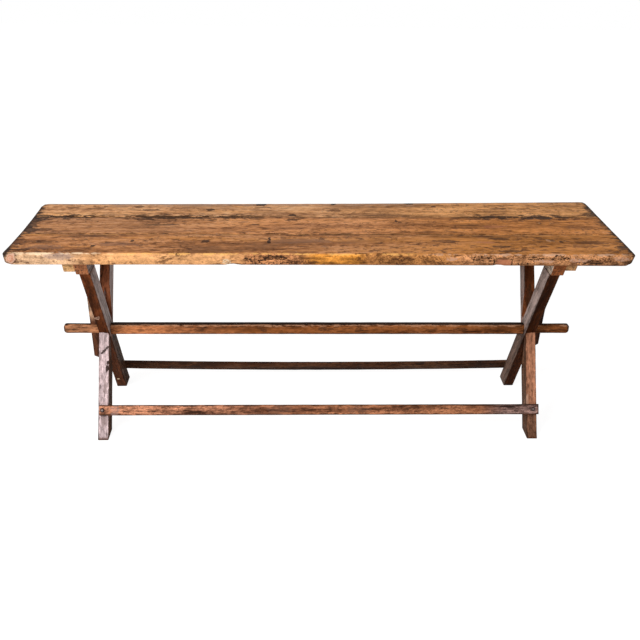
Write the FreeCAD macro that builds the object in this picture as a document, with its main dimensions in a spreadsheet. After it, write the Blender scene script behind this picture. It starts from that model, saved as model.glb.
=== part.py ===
"""A farmhouse trestle table: a loose plank top on a folding crossed-leg base.

The front legs (front foot, rear head) and their foot rail make one frame, the rear legs and theirs
make another. The two frames cross in relieved halvings and turn about the middle rail, which is
held by a tapered key at each end. Battens under the top are mortised over the leg heads and keep
the base open. X runs along the table, Y from front to back, Z up, with the origin on the floor.
"""
import os

import FreeCAD
import Part
import Sketcher

# Driving dimensions in millimetres, angles in degrees, shares without a unit.
DIMENSIONS = {
    # Top
    "table_height": 760.0,
    "top_length": 2140.0,
    "top_thickness": 43.0,
    "front_board_width": 191.0,
    "middle_board_width": 190.5,
    "rear_board_width": 170.0,
    "front_board_taper": 8.0,
    "middle_board_taper": 15.0,
    "rear_board_taper": 35.0,
    "front_joint_gap": 0.5,
    "rear_joint_gap": 2.0,
    "top_corner_round": 14.0,
    "top_edge_round": 7.0,
    "under_edge_chamfer": 4.0,
    "joint_edge_chamfer": 1.5,
    # Battens under the top that seat on the leg heads, and the cleats beside them
    "batten_width": 45.0,
    "batten_depth": 49.0,
    "batten_length": 520.0,
    "batten_front_gap": 6.0,
    "batten_undercut": 26.0,
    "batten_edge_round": 4.0,
    "cleat_width": 40.0,
    "cleat_depth": 38.0,
    "cleat_length": 504.0,
    "cleat_front_gap": 14.0,
    "cleat_undercut": 16.0,
    "cleat_edge_round": 3.0,
    "batten_peg_diameter": 14.0,
    "cleat_peg_diameter": 10.0,
    "peg_depth": 26.0,
    "peg_clearance": 0.1,
    "peg_place_share": 0.68,
    # Legs
    "end_overhang": 275.0,
    "front_overhang": 274.0,
    "leg_thickness": 40.0,
    "leg_width": 70.0,
    "leg_lean_angle": 30.6,
    "crossing_height": 350.0,
    "leg_edge_round": 3.0,
    "fold_angle": 18.0,
    "halving_clearance": 0.3,
    "lap_clearance": 0.15,
    "stub_tenon_thickness": 18.0,
    "stub_tenon_height": 9.0,
    "seat_gap": 0.2,
    "mortise_clearance": 0.4,
    "mortise_room": 6.0,
    "plug_diameter": 13.0,
    "plug_depth": 28.0,
    "plug_rise": 118.0,
    "plug_offset": 9.0,
    # Middle rail and its keys
    "rail_tail": 139.0,
    "rail_height": 40.0,
    "rail_depth": 30.0,
    "rail_edge_round": 3.0,
    "tenon_height": 37.0,
    "tenon_width": 24.0,
    "tenon_corner_chamfer": 6.0,
    "rail_end_round": 12.0,
    "shoulder_gap": 0.2,
    "pivot_clearance": 0.1,
    "key_thickness": 12.0,
    "key_top_width": 38.0,
    "key_rise": 128.0,
    "left_key_foot_width": 36.0,
    "left_key_drop": 120.0,
    "right_key_foot_width": 28.0,
    "right_key_drop": 70.0,
    "key_foot_slant": 13.0,
    "key_edge_round": 2.0,
    "key_clearance": 0.3,
    "key_draw": 3.0,
    # Foot rails and their nails
    "foot_rail_overhang": 2.0,
    "foot_rail_height": 40.0,
    "foot_rail_thickness": 20.0,
    "foot_rail_chamfer": 2.5,
    "front_rail_rise": 113.0,
    "rear_rail_rise": 88.0,
    "rear_rail_sag": 16.0,
    "nail_shank_width": 5.0,
    "nail_grip": 32.0,
    "nail_clearance": 0.1,
    "nail_head_diameter": 17.0,
    "nail_crown_diameter": 8.0,
    "nail_head_height": 4.0,
}

# Left and right ends along X, and the two ways in which a leg leans
LEFT, RIGHT = -1, 1
FRONT, REAR = 1, -1

# Directions, and how closely edges are compared when they are picked out
ALONG_X = FreeCAD.Vector(1, 0, 0)
ALONG_Y = FreeCAD.Vector(0, 1, 0)
ALONG_Z = FreeCAD.Vector(0, 0, 1)
HAIR = 0.001
PARALLEL = 1e-6

# Places worked out from the driving dimensions, as expressions on the sheet of sizes
UNDERSIDE = "(size.table_height - size.top_thickness)"
WIDE_END = (
    "(size.front_board_width + size.front_joint_gap + size.middle_board_width"
    " + size.rear_joint_gap + size.rear_board_width"
    " + (size.front_board_taper + size.middle_board_taper + size.rear_board_taper) / 2)"
)
FRONT_EDGE = f"(-{WIDE_END} / 2)"
BASE_LINE = f"({FRONT_EDGE} + size.front_overhang)"
BATTEN_UNDER = f"({UNDERSIDE} - size.batten_depth)"
LEG_SHOULDER = f"({BATTEN_UNDER} - size.seat_gap)"
LEG_HEAD = f"({LEG_SHOULDER} + size.stub_tenon_height)"
INNER_FACE = "(size.top_length / 2 - size.end_overhang)"
LEG_MIDDLE = f"({INNER_FACE} + size.leg_thickness / 2)"
OUTER_FACE = f"({INNER_FACE} + size.leg_thickness)"
RAIL_TIP = f"({OUTER_FACE} + size.rail_tail)"
FOOT_RAIL_TIP = f"({OUTER_FACE} + size.foot_rail_overhang)"
HALF_LEG = "(size.leg_width / 2)"
LEAN = "(size.leg_lean_angle * 1 deg)"
OPEN_ANGLE = "(2 * size.leg_lean_angle * 1 deg)"
SHUT_ANGLE = "(2 * (size.leg_lean_angle - size.fold_angle) * 1 deg)"
TENON_REACH = (
    "max(sqrt((size.tenon_width / 2 - size.tenon_corner_chamfer)^2 + (size.tenon_height / 2)^2);"
    " sqrt((size.tenon_width / 2)^2 + (size.tenon_height / 2 - size.tenon_corner_chamfer)^2))"
)
PIVOT_RADIUS = f"({TENON_REACH} + size.pivot_clearance)"
FOOT_LEVEL = f"(-size.crossing_height / cos({LEAN}) - {HALF_LEG} * tan({LEAN}))"
FRONT_RAIL_PLACE = f"({FOOT_LEVEL} + size.front_rail_rise)"
REAR_RAIL_PLACE = f"({FOOT_LEVEL} + size.rear_rail_rise)"
NAIL_HOLE_HALF = "(size.nail_shank_width / 2 + size.nail_clearance)"

doc = FreeCAD.newDocument("trestle_table")
sheet = doc.addObject("Spreadsheet::Sheet", "size")
subparts = []


def fill_sheet():
    """Write each driving dimension into its own named cell."""
    for row, (alias, value) in enumerate(DIMENSIONS.items(), start=1):
        sheet.set(f"A{row}", alias.replace("_", " "))
        sheet.set(f"B{row}", str(value))
        sheet.setAlias(f"B{row}", alias)
    doc.recompute()


def number(expression):
    """Return the present value of an expression on the sheet."""
    return float(sheet.evalExpression(expression))


def new_body(label):
    """Start a sub-part that is built up from sketches."""
    body = doc.addObject("PartDesign::Body", label)
    body.Label = label
    subparts.append(body)
    return body


def place(thing, base, lean=None):
    """Bind a piece's place, and its turn about the X axis, to the sheet."""
    thing.Placement = FreeCAD.Placement(FreeCAD.Vector(), FreeCAD.Rotation(FreeCAD.Vector(1, 0, 0), 1))
    for axis, expression in zip("xyz", base):
        thing.setExpression(f"Placement.Base.{axis}", expression)
    thing.setExpression("Placement.Rotation.Angle", lean or "0 deg")


def start_sketch(body, role, offset):
    """Open a sketch on one of the body's own planes, moved along the plane's normal."""
    plane = next(item for item in body.Origin.OriginFeatures if item.Role == role)
    sketch = body.newObject("Sketcher::SketchObject", f"{body.Label}_outline")
    sketch.AttachmentSupport = [(plane, "")]
    sketch.MapMode = "FlatFace"
    sketch.setExpression("AttachmentOffset.Base.z", offset)
    return sketch


def pin(sketch, geometry, end, spot):
    """Hold one point of a sketch at a pair of expressions."""
    for kind, axis, expression in zip(("DistanceX", "DistanceY"), (-2, -1), spot):
        if expression == "0":
            sketch.addConstraint(Sketcher.Constraint("PointOnObject", geometry, end, axis))
            continue
        held = Sketcher.Constraint(kind, -1, 1, geometry, end, number(expression))
        index = sketch.addConstraint(held)
        sketch.setExpression(f"Constraints[{index}]", expression)


def vector(spot):
    """Turn a pair of expressions into a point of a sketch."""
    return FreeCAD.Vector(number(spot[0]), number(spot[1]), 0)


def polygon(body, role, corners, offset="0"):
    """Sketch a closed outline of straight sides through the corners."""
    sketch = start_sketch(body, role, offset)
    points = [vector(corner) for corner in corners]
    count = len(points)
    for side in range(count):
        sketch.addGeometry(Part.LineSegment(points[side], points[(side + 1) % count]))
    for side in range(count):
        sketch.addConstraint(Sketcher.Constraint("Coincident", side, 2, (side + 1) % count, 1))
    for side, corner in enumerate(corners):
        pin(sketch, side, 1, corner)
    return sketch


def rectangle(body, role, low, high, offset="0"):
    """Sketch a rectangle between two opposite corners."""
    corners = [low, (high[0], low[1]), high, (low[0], high[1])]
    return polygon(body, role, corners, offset)


def circle(body, role, centre, radius, offset="0"):
    """Sketch a circle about a centre."""
    sketch = start_sketch(body, role, offset)
    sketch.addGeometry(Part.Circle(vector(centre), FreeCAD.Vector(0, 0, 1), number(radius)))
    pin(sketch, 0, 3, centre)
    index = sketch.addConstraint(Sketcher.Constraint("Radius", 0, number(radius)))
    sketch.setExpression(f"Constraints[{index}]", radius)
    return sketch


def pad(body, sketch, length, both_ways=False, flip=False):
    """Raise a sketch into solid material."""
    feature = body.newObject("PartDesign::Pad", f"{body.Label}_pad")
    feature.Profile = sketch
    feature.SideType = "Symmetric" if both_ways else "One side"
    feature.Reversed = flip
    feature.setExpression("Length", length)
    doc.recompute()
    return feature


def pocket(body, sketch, depth, both_ways=False, flip=False):
    """Cut a sketch out of the body, and make sure that something was cut."""
    before = body.Shape.Volume
    feature = body.newObject("PartDesign::Pocket", f"{body.Label}_pocket")
    feature.Profile = sketch
    feature.SideType = "Symmetric" if both_ways else "One side"
    feature.Reversed = flip
    feature.setExpression("Length", depth)
    doc.recompute()
    if not body.Shape.Volume < before:
        raise RuntimeError(f"a pocket in {body.Label} cuts nothing")
    return feature


def round_edges(body, radius, chosen):
    """Round the edges of the body's last feature that a test picks out."""
    last = body.Tip
    names = [f"Edge{index}" for index, edge in enumerate(last.Shape.Edges, start=1) if chosen(edge)]
    if not names:
        raise RuntimeError(f"no edge of {body.Label} to round")
    feature = body.newObject("PartDesign::Fillet", f"{body.Label}_round")
    feature.Base = (last, names)
    feature.setExpression("Radius", radius)
    doc.recompute()
    return feature


def chamfer_edges(body, width, chosen):
    """Plane a narrow flat along the edges of the body's last feature that a test picks out."""
    last = body.Tip
    names = [f"Edge{index}" for index, edge in enumerate(last.Shape.Edges, start=1) if chosen(edge)]
    feature = body.newObject("PartDesign::Chamfer", f"{body.Label}_chamfer")
    feature.Base = (last, names)
    feature.setExpression("Size", width)
    doc.recompute()
    return feature


def runs_along(edge, axis):
    """Tell whether a straight edge runs along a unit axis."""
    if edge.Curve.TypeId != "Part::GeomLine":
        return False
    return edge.Curve.Direction.cross(axis).Length < PARALLEL


def near(value, target):
    """Tell whether two lengths agree within a hair."""
    return abs(value - target) < HAIR


def board_spans():
    """Return each board's label with its front and rear edges, each by its left and right ends.

    The front edge runs true and every board widens to the right, so the rear edge slants.
    """
    spans = []
    left, right = FRONT_EDGE, FRONT_EDGE
    for name, gap in (("front", "front_joint"), ("middle", "rear_joint"), ("rear", None)):
        front = (left, right)
        left = f"({left} + size.{name}_board_width - size.{name}_board_taper / 2)"
        right = f"({right} + size.{name}_board_width + size.{name}_board_taper / 2)"
        spans.append((f"top_board_{name}", front, (left, right)))
        if gap:
            left, right = (f"({edge} + size.{gap}_gap)" for edge in (left, right))
    return spans


def peg_rows():
    """Return where the pegs of each kind stand along X, with their diameter, for the right end."""
    batten_row = f"({INNER_FACE} + size.batten_width / 2)"
    cleat_row = f"({INNER_FACE} + size.batten_width + size.cleat_width / 2)"
    return [
        ("batten", batten_row, "size.batten_peg_diameter"),
        ("cleat", cleat_row, "size.cleat_peg_diameter"),
    ]


def peg_line(front, rear):
    """Return where a board's pegs stand across the table, at a share of its middle width."""
    front_middle = f"({front[0]} + {front[1]}) / 2"
    rear_middle = f"({rear[0]} + {rear[1]}) / 2"
    return f"((1 - size.peg_place_share) * {front_middle} + size.peg_place_share * {rear_middle})"


def peg_hole(diameter):
    """Return the radius of a peg's hole."""
    return f"({diameter} / 2 + size.peg_clearance)"


def make_board(label, front, rear):
    """Make one board of the top, its outer edges worn round and its pegs' holes bored."""
    body = new_body(label)
    left_end, right_end = "-size.top_length / 2", "size.top_length / 2"
    corners = [(left_end, front[0]), (right_end, front[1]), (right_end, rear[1]), (left_end, rear[0])]
    pad(body, polygon(body, "XY_Plane", corners, UNDERSIDE), "size.top_thickness")
    half_length = number(right_end)
    upper = number("size.table_height")
    lower = number(UNDERSIDE)

    def on_line(point, line):
        left, right = number(line[0]), number(line[1])
        return near(point.y, (left + right) / 2 + (right - left) / 2 * point.x / half_length)

    def on_outer_side(point):
        at_front = label == "top_board_front" and on_line(point, front)
        at_rear = label == "top_board_rear" and on_line(point, rear)
        return at_front or at_rear

    def outer_corner(edge):
        return runs_along(edge, ALONG_Z) and on_outer_side(edge.CenterOfMass)

    def level_at(edge, height):
        return near(edge.BoundBox.ZMin, height) and near(edge.BoundBox.ZMax, height)

    def outer_edge(edge, height):
        middle = edge.CenterOfMass
        at_end = abs(middle.x) > half_length - number("size.top_corner_round")
        return level_at(edge, height) and (at_end or on_outer_side(middle))

    def joint_edge(edge):
        middle = edge.CenterOfMass
        at_side = on_line(middle, front) or on_line(middle, rear)
        return level_at(edge, upper) and at_side and not on_outer_side(middle)

    if any(outer_corner(edge) for edge in body.Shape.Edges):
        round_edges(body, "size.top_corner_round", outer_corner)
    round_edges(body, "size.top_edge_round", lambda edge: outer_edge(edge, upper))
    chamfer_edges(body, "size.under_edge_chamfer", lambda edge: outer_edge(edge, lower))
    chamfer_edges(body, "size.joint_edge_chamfer", joint_edge)
    for _, row, diameter in peg_rows():
        for end in (LEFT, RIGHT):
            centre = (f"{end} * {row}", peg_line(front, rear))
            hole = circle(body, "XY_Plane", centre, peg_hole(diameter), "size.table_height")
            pocket(body, hole, "size.top_thickness")


def make_bearer(kind, end, inner, width, depth, edge_round):
    """Make a batten or cleat under the top, its ends undercut and its peg holes stopped."""
    side = "left" if end == LEFT else "right"
    short_name = kind.split("_")[-1]
    body = new_body(f"{kind}_{side}")
    place(body, (f"{end} * {inner}", BASE_LINE, "0"))
    under = f"({UNDERSIDE} - {depth})"
    undercut = f"size.{short_name}_undercut"
    front = f"(size.{short_name}_front_gap - size.front_overhang)"
    rear = f"({front} + size.{short_name}_length)"
    corners = [
        (front, UNDERSIDE),
        (f"{front} + {undercut}", under),
        (f"{rear} - {undercut}", under),
        (rear, UNDERSIDE),
    ]
    pad(body, polygon(body, "YZ_Plane", corners), width, flip=end == LEFT)
    lowest = number(under)
    round_edges(body, edge_round, lambda edge: near(edge.BoundBox.ZMax, lowest))
    for _, board_front, board_rear in board_spans():
        centre = (f"{end} * {width} / 2", f"{peg_line(board_front, board_rear)} - {BASE_LINE}")
        hole = circle(body, "XY_Plane", centre, peg_hole(f"size.{short_name}_peg_diameter"), UNDERSIDE)
        pocket(body, hole, "size.peg_depth")
    return body


def cut_mortises(body, end):
    """Cut the two stopped mortises that drop over the stub tenons on the leg heads."""
    half_tenon = "(size.stub_tenon_thickness / 2 + size.mortise_clearance)"
    slant = f"{HALF_LEG} / cos({LEAN})"
    inner = f"(({LEG_SHOULDER} - size.crossing_height) * tan({LEAN}) - {slant} - size.mortise_room)"
    outer = f"(({LEG_HEAD} - size.crossing_height) * tan({LEAN}) + {slant} + size.mortise_clearance)"
    middle = f"{end} * size.leg_thickness / 2"
    for way in (FRONT, REAR):
        low = (f"{middle} - {half_tenon}", f"{way} * {inner}")
        high = (f"{middle} + {half_tenon}", f"{way} * {outer}")
        mouth = rectangle(body, "XY_Plane", low, high, BATTEN_UNDER)
        pocket(body, mouth, "size.stub_tenon_height + size.mortise_clearance", flip=True)


def make_bearers():
    """Make the batten over each trestle and the cleat that lies against it."""
    cleat_inner = f"({INNER_FACE} + size.batten_width)"
    for end in (LEFT, RIGHT):
        batten = make_bearer(
            "head_batten", end, INNER_FACE, "size.batten_width", "size.batten_depth",
            "size.batten_edge_round",
        )
        cut_mortises(batten, end)
        make_bearer(
            "cleat", end, cleat_inner, "size.cleat_width", "size.cleat_depth",
            "size.cleat_edge_round",
        )


def cylinder(name, radius, height, base, turn="0 deg"):
    """Make a round bar whose axis starts at base and is turned about X from upright."""
    bar = doc.addObject("Part::Cylinder", name)
    bar.setExpression("Radius", radius)
    bar.setExpression("Height", height)
    place(bar, base, turn)
    return bar


def group(label, pieces):
    """Gather separate solids of one kind under one label."""
    gathered = doc.addObject("Part::Compound", label)
    gathered.Label = label
    gathered.Links = pieces
    subparts.append(gathered)
    return gathered


def make_pegs():
    """Make the wooden pegs that hold each board to the battens and cleats, flush with the top."""
    for kind, row, diameter in peg_rows():
        for end, side in ((LEFT, "left"), (RIGHT, "right")):
            pegs = []
            for label, front, rear in board_spans():
                base = (f"{end} * {row}", peg_line(front, rear), f"{UNDERSIDE} - size.peg_depth")
                name = f"{kind}_peg_{side}_{label}"
                pegs.append(cylinder(name, f"{diameter} / 2", "size.top_thickness + size.peg_depth", base))
            group(f"{kind}_pegs_{side}", pegs)


def level_line(height, across, way):
    """Return where a level plane meets a leaning leg, along the leg from the crossing."""
    return f"(({height} - size.crossing_height) / cos({LEAN}) + {way} * {across} * tan({LEAN}))"


def crossing_strip(angle, way):
    """Return the corners of the other leg's path across this one at an angle between the two."""
    half_strip = f"({HALF_LEG} + size.halving_clearance)"
    reach = "size.leg_width"
    corners = []
    for across, sign in ((f"-{reach}", -1), (reach, -1), (reach, 1), (f"-{reach}", 1)):
        along = f"(({sign} * {half_strip} - {way} * {across} * cos({angle})) / sin({angle}))"
        corners.append((across, along))
    return corners


def make_leg(label, end, way):
    """Make one leg: square-cut at floor and head, halved and relieved where its partner crosses.

    A front leg gives up the inner half of its thickness at the crossing, a rear leg the outer half.
    The relief is the partner's path at the open and at the shut angle, so the open-angle shoulders
    still stop the legs from spreading.
    """
    body = new_body(label)
    place(body, (f"{end} * {LEG_MIDDLE}", BASE_LINE, "size.crossing_height"), f"{-way} * {LEAN}")
    low, high = f"-{HALF_LEG}", HALF_LEG
    stick = [
        (low, level_line("0", low, way)),
        (high, level_line("0", high, way)),
        (high, level_line(LEG_SHOULDER, high, way)),
        (low, level_line(LEG_SHOULDER, low, way)),
    ]
    pad(body, polygon(body, "YZ_Plane", stick), "size.leg_thickness", both_ways=True)
    round_edges(body, "size.leg_edge_round", lambda edge: runs_along(edge, ALONG_Z))
    head = [
        (low, level_line(LEG_SHOULDER, low, way)),
        (high, level_line(LEG_SHOULDER, high, way)),
        (high, level_line(LEG_HEAD, high, way)),
        (low, level_line(LEG_HEAD, low, way)),
    ]
    pad(body, polygon(body, "YZ_Plane", head), "size.stub_tenon_thickness", both_ways=True)
    cut_side = -end * way
    for angle in (OPEN_ANGLE, SHUT_ANGLE):
        strip = polygon(
            body, "YZ_Plane", crossing_strip(angle, way), f"{-cut_side} * size.lap_clearance"
        )
        pocket(body, strip, "size.leg_thickness", flip=cut_side > 0)
    pivot = circle(body, "YZ_Plane", ("0", "0"), PIVOT_RADIUS)
    pocket(body, pivot, "2 * size.leg_thickness", both_ways=True)
    rail_place = FRONT_RAIL_PLACE if way == FRONT else REAR_RAIL_PLACE
    mouth = nail_mouth(body, ("0", rail_place), way)
    pocket(body, mouth, "size.nail_grip", flip=way == REAR)
    return body


def nail_mouth(body, centre, way):
    """Sketch the square mouth of a nail's hole, where a foot rail meets the leg."""
    low = [f"{spot} - {NAIL_HOLE_HALF}" for spot in centre]
    high = [f"{spot} + {NAIL_HOLE_HALF}" for spot in centre]
    return rectangle(body, "XZ_Plane", low, high, f"{way} * {HALF_LEG}")


def make_legs():
    """Make the four legs, and the plug let into the front of the rear left one."""
    for end, side in ((LEFT, "left"), (RIGHT, "right")):
        make_leg(f"front_leg_{side}", end, FRONT)
        rear_leg = make_leg(f"rear_leg_{side}", end, REAR)
        if end == LEFT:
            plug_in(rear_leg)


def plug_in(leg):
    """Bore the leg's front face and fill the hole with a round plug."""
    centre = (f"{LEFT} * size.plug_offset", "size.plug_rise")
    radius = "size.plug_diameter / 2 + size.peg_clearance"
    pocket(leg, circle(leg, "XZ_Plane", centre, radius, HALF_LEG), "size.plug_depth")
    base = (centre[0], f"-{HALF_LEG}", centre[1])
    plug = cylinder("plug", "size.plug_diameter / 2", "size.plug_depth", base, "-90 deg")
    seated = group("leg_plug", [plug])
    place(seated, (f"{LEFT} * {LEG_MIDDLE}", BASE_LINE, "size.crossing_height"), LEAN)


def key_width_at(height, foot_width, drop):
    """Return a key's width at a height above the rail's middle."""
    climb_share = f"({height} + {drop}) / (size.key_rise + {drop})"
    return f"({foot_width} + (size.key_top_width - {foot_width}) * {climb_share})"


def keys():
    """Return each key's end, side name, foot width and drop below the rail's middle."""
    return [
        (LEFT, "left", "size.left_key_foot_width", "size.left_key_drop"),
        (RIGHT, "right", "size.right_key_foot_width", "size.right_key_drop"),
    ]


def make_middle_rail():
    """Make the rail: shouldered between the legs, with flat tenons through them to its keys."""
    body = new_body("middle_rail")
    place(body, ("0", BASE_LINE, "size.crossing_height"))
    low = ("-size.rail_depth / 2", "-size.rail_height / 2")
    high = ("size.rail_depth / 2", "size.rail_height / 2")
    pad(
        body, rectangle(body, "YZ_Plane", low, high),
        f"2 * ({INNER_FACE} - size.shoulder_gap)", both_ways=True,
    )
    round_edges(body, "size.rail_edge_round", lambda edge: runs_along(edge, ALONG_X))
    low = ("-size.tenon_width / 2", "-size.tenon_height / 2")
    high = ("size.tenon_width / 2", "size.tenon_height / 2")
    pad(body, rectangle(body, "YZ_Plane", low, high), f"2 * {RAIL_TIP}", both_ways=True)
    tip = number(RAIL_TIP)
    round_edges(
        body, "size.rail_end_round",
        lambda edge: runs_along(edge, ALONG_Y) and near(abs(edge.CenterOfMass.x), tip),
    )
    shoulder = number(INNER_FACE)
    cheek = number("size.tenon_width / 2")
    chamfer_edges(
        body, "size.tenon_corner_chamfer",
        lambda edge: runs_along(edge, ALONG_X)
        and abs(edge.CenterOfMass.x) > shoulder
        and near(abs(edge.CenterOfMass.y), cheek),
    )
    half_slot = "(size.key_thickness / 2 + size.key_clearance)"
    for end, _, foot_width, drop in keys():
        widest = key_width_at("size.tenon_height / 2", foot_width, drop)
        near_side = f"{end} * ({OUTER_FACE} - size.key_draw)"
        far_side = f"{end} * ({OUTER_FACE} + {widest} + 2 * size.key_clearance)"
        slot = rectangle(body, "XY_Plane", (near_side, f"-{half_slot}"), (far_side, half_slot))
        pocket(body, slot, "2 * size.rail_height", both_ways=True)


def make_keys():
    """Make the tapered keys that stand in the rail's tenons against the outside of the legs."""
    for end, side, foot_width, drop in keys():
        body = new_body(f"key_{side}")
        place(body, (f"{end} * ({OUTER_FACE} + size.key_clearance)", BASE_LINE, "size.crossing_height"))
        corners = [
            ("0", "size.key_rise"),
            (f"{end} * size.key_top_width", "size.key_rise"),
            (f"{end} * {foot_width}", f"-{drop} + size.key_foot_slant"),
            ("0", f"-{drop}"),
        ]
        pad(body, polygon(body, "XZ_Plane", corners), "size.key_thickness", both_ways=True)
        round_edges(body, "size.key_edge_round", lambda edge: not runs_along(edge, ALONG_Y))


def make_front_foot_rail():
    """Make the straight rail nailed across the front of the front legs, near their feet."""
    body = new_body("front_foot_rail")
    place(body, ("0", BASE_LINE, "size.crossing_height"), f"{-FRONT} * {LEAN}")
    low = (f"-{FOOT_RAIL_TIP}", f"{FRONT_RAIL_PLACE} - size.foot_rail_height / 2")
    high = (FOOT_RAIL_TIP, f"{FRONT_RAIL_PLACE} + size.foot_rail_height / 2")
    pad(body, rectangle(body, "XZ_Plane", low, high, HALF_LEG), "size.foot_rail_thickness")
    finish_foot_rail(body, FRONT, FRONT_RAIL_PLACE)


def make_rear_foot_rail():
    """Make the rail nailed across the back of the rear legs, sagging in an arc between them."""
    body = new_body("rear_foot_rail")
    place(body, ("0", BASE_LINE, "size.crossing_height"), f"{-REAR} * {LEAN}")
    radius = f"({FOOT_RAIL_TIP}^2 + size.rear_rail_sag^2) / (2 * size.rear_rail_sag)"
    sketch = start_sketch(body, "XZ_Plane", f"-{HALF_LEG}")
    edges = [f"{REAR_RAIL_PLACE} {sign} size.foot_rail_height / 2" for sign in "-+"]
    for edge in edges:
        left = vector((f"-{FOOT_RAIL_TIP}", edge))
        right = vector((FOOT_RAIL_TIP, edge))
        lowest = vector(("0", f"{edge} - size.rear_rail_sag"))
        sketch.addGeometry(Part.Arc(left, lowest, right))
    for end in (f"-{FOOT_RAIL_TIP}", FOOT_RAIL_TIP):
        sketch.addGeometry(Part.LineSegment(vector((end, edges[0])), vector((end, edges[1]))))
    for arc, edge in enumerate(edges):
        pin(sketch, arc, 1, (f"-{FOOT_RAIL_TIP}", edge))
        pin(sketch, arc, 2, (FOOT_RAIL_TIP, edge))
        index = sketch.addConstraint(Sketcher.Constraint("Radius", arc, number(radius)))
        sketch.setExpression(f"Constraints[{index}]", radius)
    for line, arc_end in ((2, 1), (3, 2)):
        sketch.addConstraint(Sketcher.Constraint("Coincident", line, 1, 0, arc_end))
        sketch.addConstraint(Sketcher.Constraint("Coincident", line, 2, 1, arc_end))
    pad(body, sketch, "size.foot_rail_thickness", flip=True)
    finish_foot_rail(body, REAR, REAR_RAIL_PLACE)


def finish_foot_rail(body, way, rail_place):
    """Ease a foot rail's long edges and bore it for its nails."""
    span = number(INNER_FACE)
    chamfer_edges(body, "size.foot_rail_chamfer", lambda edge: edge.BoundBox.XLength > span)
    for end in (LEFT, RIGHT):
        centre = (f"{end} * {LEG_MIDDLE}", rail_place)
        mouth = nail_mouth(body, centre, way)
        pocket(body, mouth, "size.foot_rail_thickness", flip=way == FRONT)


def make_nails(label, way, rail_place):
    """Make the forged nails that hold a foot rail to its two legs, with square shanks."""
    nails = []
    surface = f"{-way} * ({HALF_LEG} + size.foot_rail_thickness)"
    half_shank = "size.nail_shank_width / 2"
    for end, side in ((LEFT, "left"), (RIGHT, "right")):
        name = f"{label}_{side}"
        middle = f"{end} * {LEG_MIDDLE}"
        shank = doc.addObject("Part::Box", f"{name}_shank")
        shank.setExpression("Length", "size.nail_shank_width")
        shank.setExpression("Width", "size.nail_shank_width")
        shank.setExpression("Height", "size.foot_rail_thickness + size.nail_grip")
        corner = (f"{middle} - {half_shank}", surface, f"{rail_place} + {way} * {half_shank}")
        place(shank, corner, f"{-way} * 90 deg")
        head = doc.addObject("Part::Cone", f"{name}_head")
        head.setExpression("Radius1", "size.nail_head_diameter / 2")
        head.setExpression("Radius2", "size.nail_crown_diameter / 2")
        head.setExpression("Height", "size.nail_head_height")
        place(head, (middle, surface, rail_place), f"{way} * 90 deg")
        nail = doc.addObject("Part::MultiFuse", name)
        nail.Shapes = [shank, head]
        nails.append(nail)
    gathered = group(label, nails)
    place(gathered, ("0", BASE_LINE, "size.crossing_height"), f"{-way} * {LEAN}")


def check_and_write():
    """Stop on any failed object, then write each sub-part to its own file."""
    doc.recompute()
    for thing in doc.Objects:
        if any(flag in thing.State for flag in ("Invalid", "Error")):
            raise RuntimeError(f"{thing.Label} failed: {thing.State}")
    for thing in subparts:
        if thing.Shape.isNull() or not thing.Shape.isValid():
            raise RuntimeError(f"{thing.Label} has no valid shape")
    os.makedirs("parts", exist_ok=True)
    for thing in subparts:
        thing.Shape.exportStep(f"parts/{thing.Label}.step")
        box = thing.Shape.BoundBox
        print(thing.Label, len(thing.Shape.Solids), round(thing.Shape.Volume), box)


fill_sheet()
for board in board_spans():
    make_board(*board)
make_bearers()
make_pegs()
make_legs()
make_middle_rail()
make_keys()
make_front_foot_rail()
make_rear_foot_rail()
make_nails("front_rail_nails", FRONT, FRONT_RAIL_PLACE)
make_nails("rear_rail_nails", REAR, REAR_RAIL_PLACE)
check_and_write()
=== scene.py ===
"""Dress a farmhouse trestle table: a worn plank top on crossed, folding legs.

Every wooden piece starts from the form of its solid, is sliced across its grain, loses a little
wood to wear, and is dressed in a wood that follows its own grain. Lengths are in metres, with X
along the table, Y to the back and Z up. Colours are linear.
"""
import logging
import math
from contextlib import contextmanager
from dataclasses import dataclass, field
from enum import Enum
from functools import partial, reduce
from typing import Iterator, Optional, Union

import bpy
from mathutils import Matrix, Vector, noise


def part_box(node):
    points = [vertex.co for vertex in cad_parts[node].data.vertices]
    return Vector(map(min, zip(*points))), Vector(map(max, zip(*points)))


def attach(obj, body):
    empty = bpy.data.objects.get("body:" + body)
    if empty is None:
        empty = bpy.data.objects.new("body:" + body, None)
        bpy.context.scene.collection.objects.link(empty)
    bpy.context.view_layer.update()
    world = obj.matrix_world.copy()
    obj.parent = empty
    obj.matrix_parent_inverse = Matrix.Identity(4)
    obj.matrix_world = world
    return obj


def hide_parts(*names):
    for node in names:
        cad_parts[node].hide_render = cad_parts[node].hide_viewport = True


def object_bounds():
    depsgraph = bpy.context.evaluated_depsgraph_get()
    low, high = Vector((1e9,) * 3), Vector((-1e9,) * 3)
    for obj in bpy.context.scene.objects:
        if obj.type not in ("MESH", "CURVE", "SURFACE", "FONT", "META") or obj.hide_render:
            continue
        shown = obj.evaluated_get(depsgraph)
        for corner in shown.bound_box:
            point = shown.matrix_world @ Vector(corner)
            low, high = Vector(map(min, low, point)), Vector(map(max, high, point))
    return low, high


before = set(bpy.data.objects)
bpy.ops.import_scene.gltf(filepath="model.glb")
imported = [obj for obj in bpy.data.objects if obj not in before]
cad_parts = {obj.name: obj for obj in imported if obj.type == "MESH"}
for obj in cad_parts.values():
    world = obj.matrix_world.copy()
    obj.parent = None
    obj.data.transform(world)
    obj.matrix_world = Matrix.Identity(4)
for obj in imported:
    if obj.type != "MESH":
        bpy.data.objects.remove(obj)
solid_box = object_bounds()

log = logging.getLogger("trestle_table")

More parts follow.
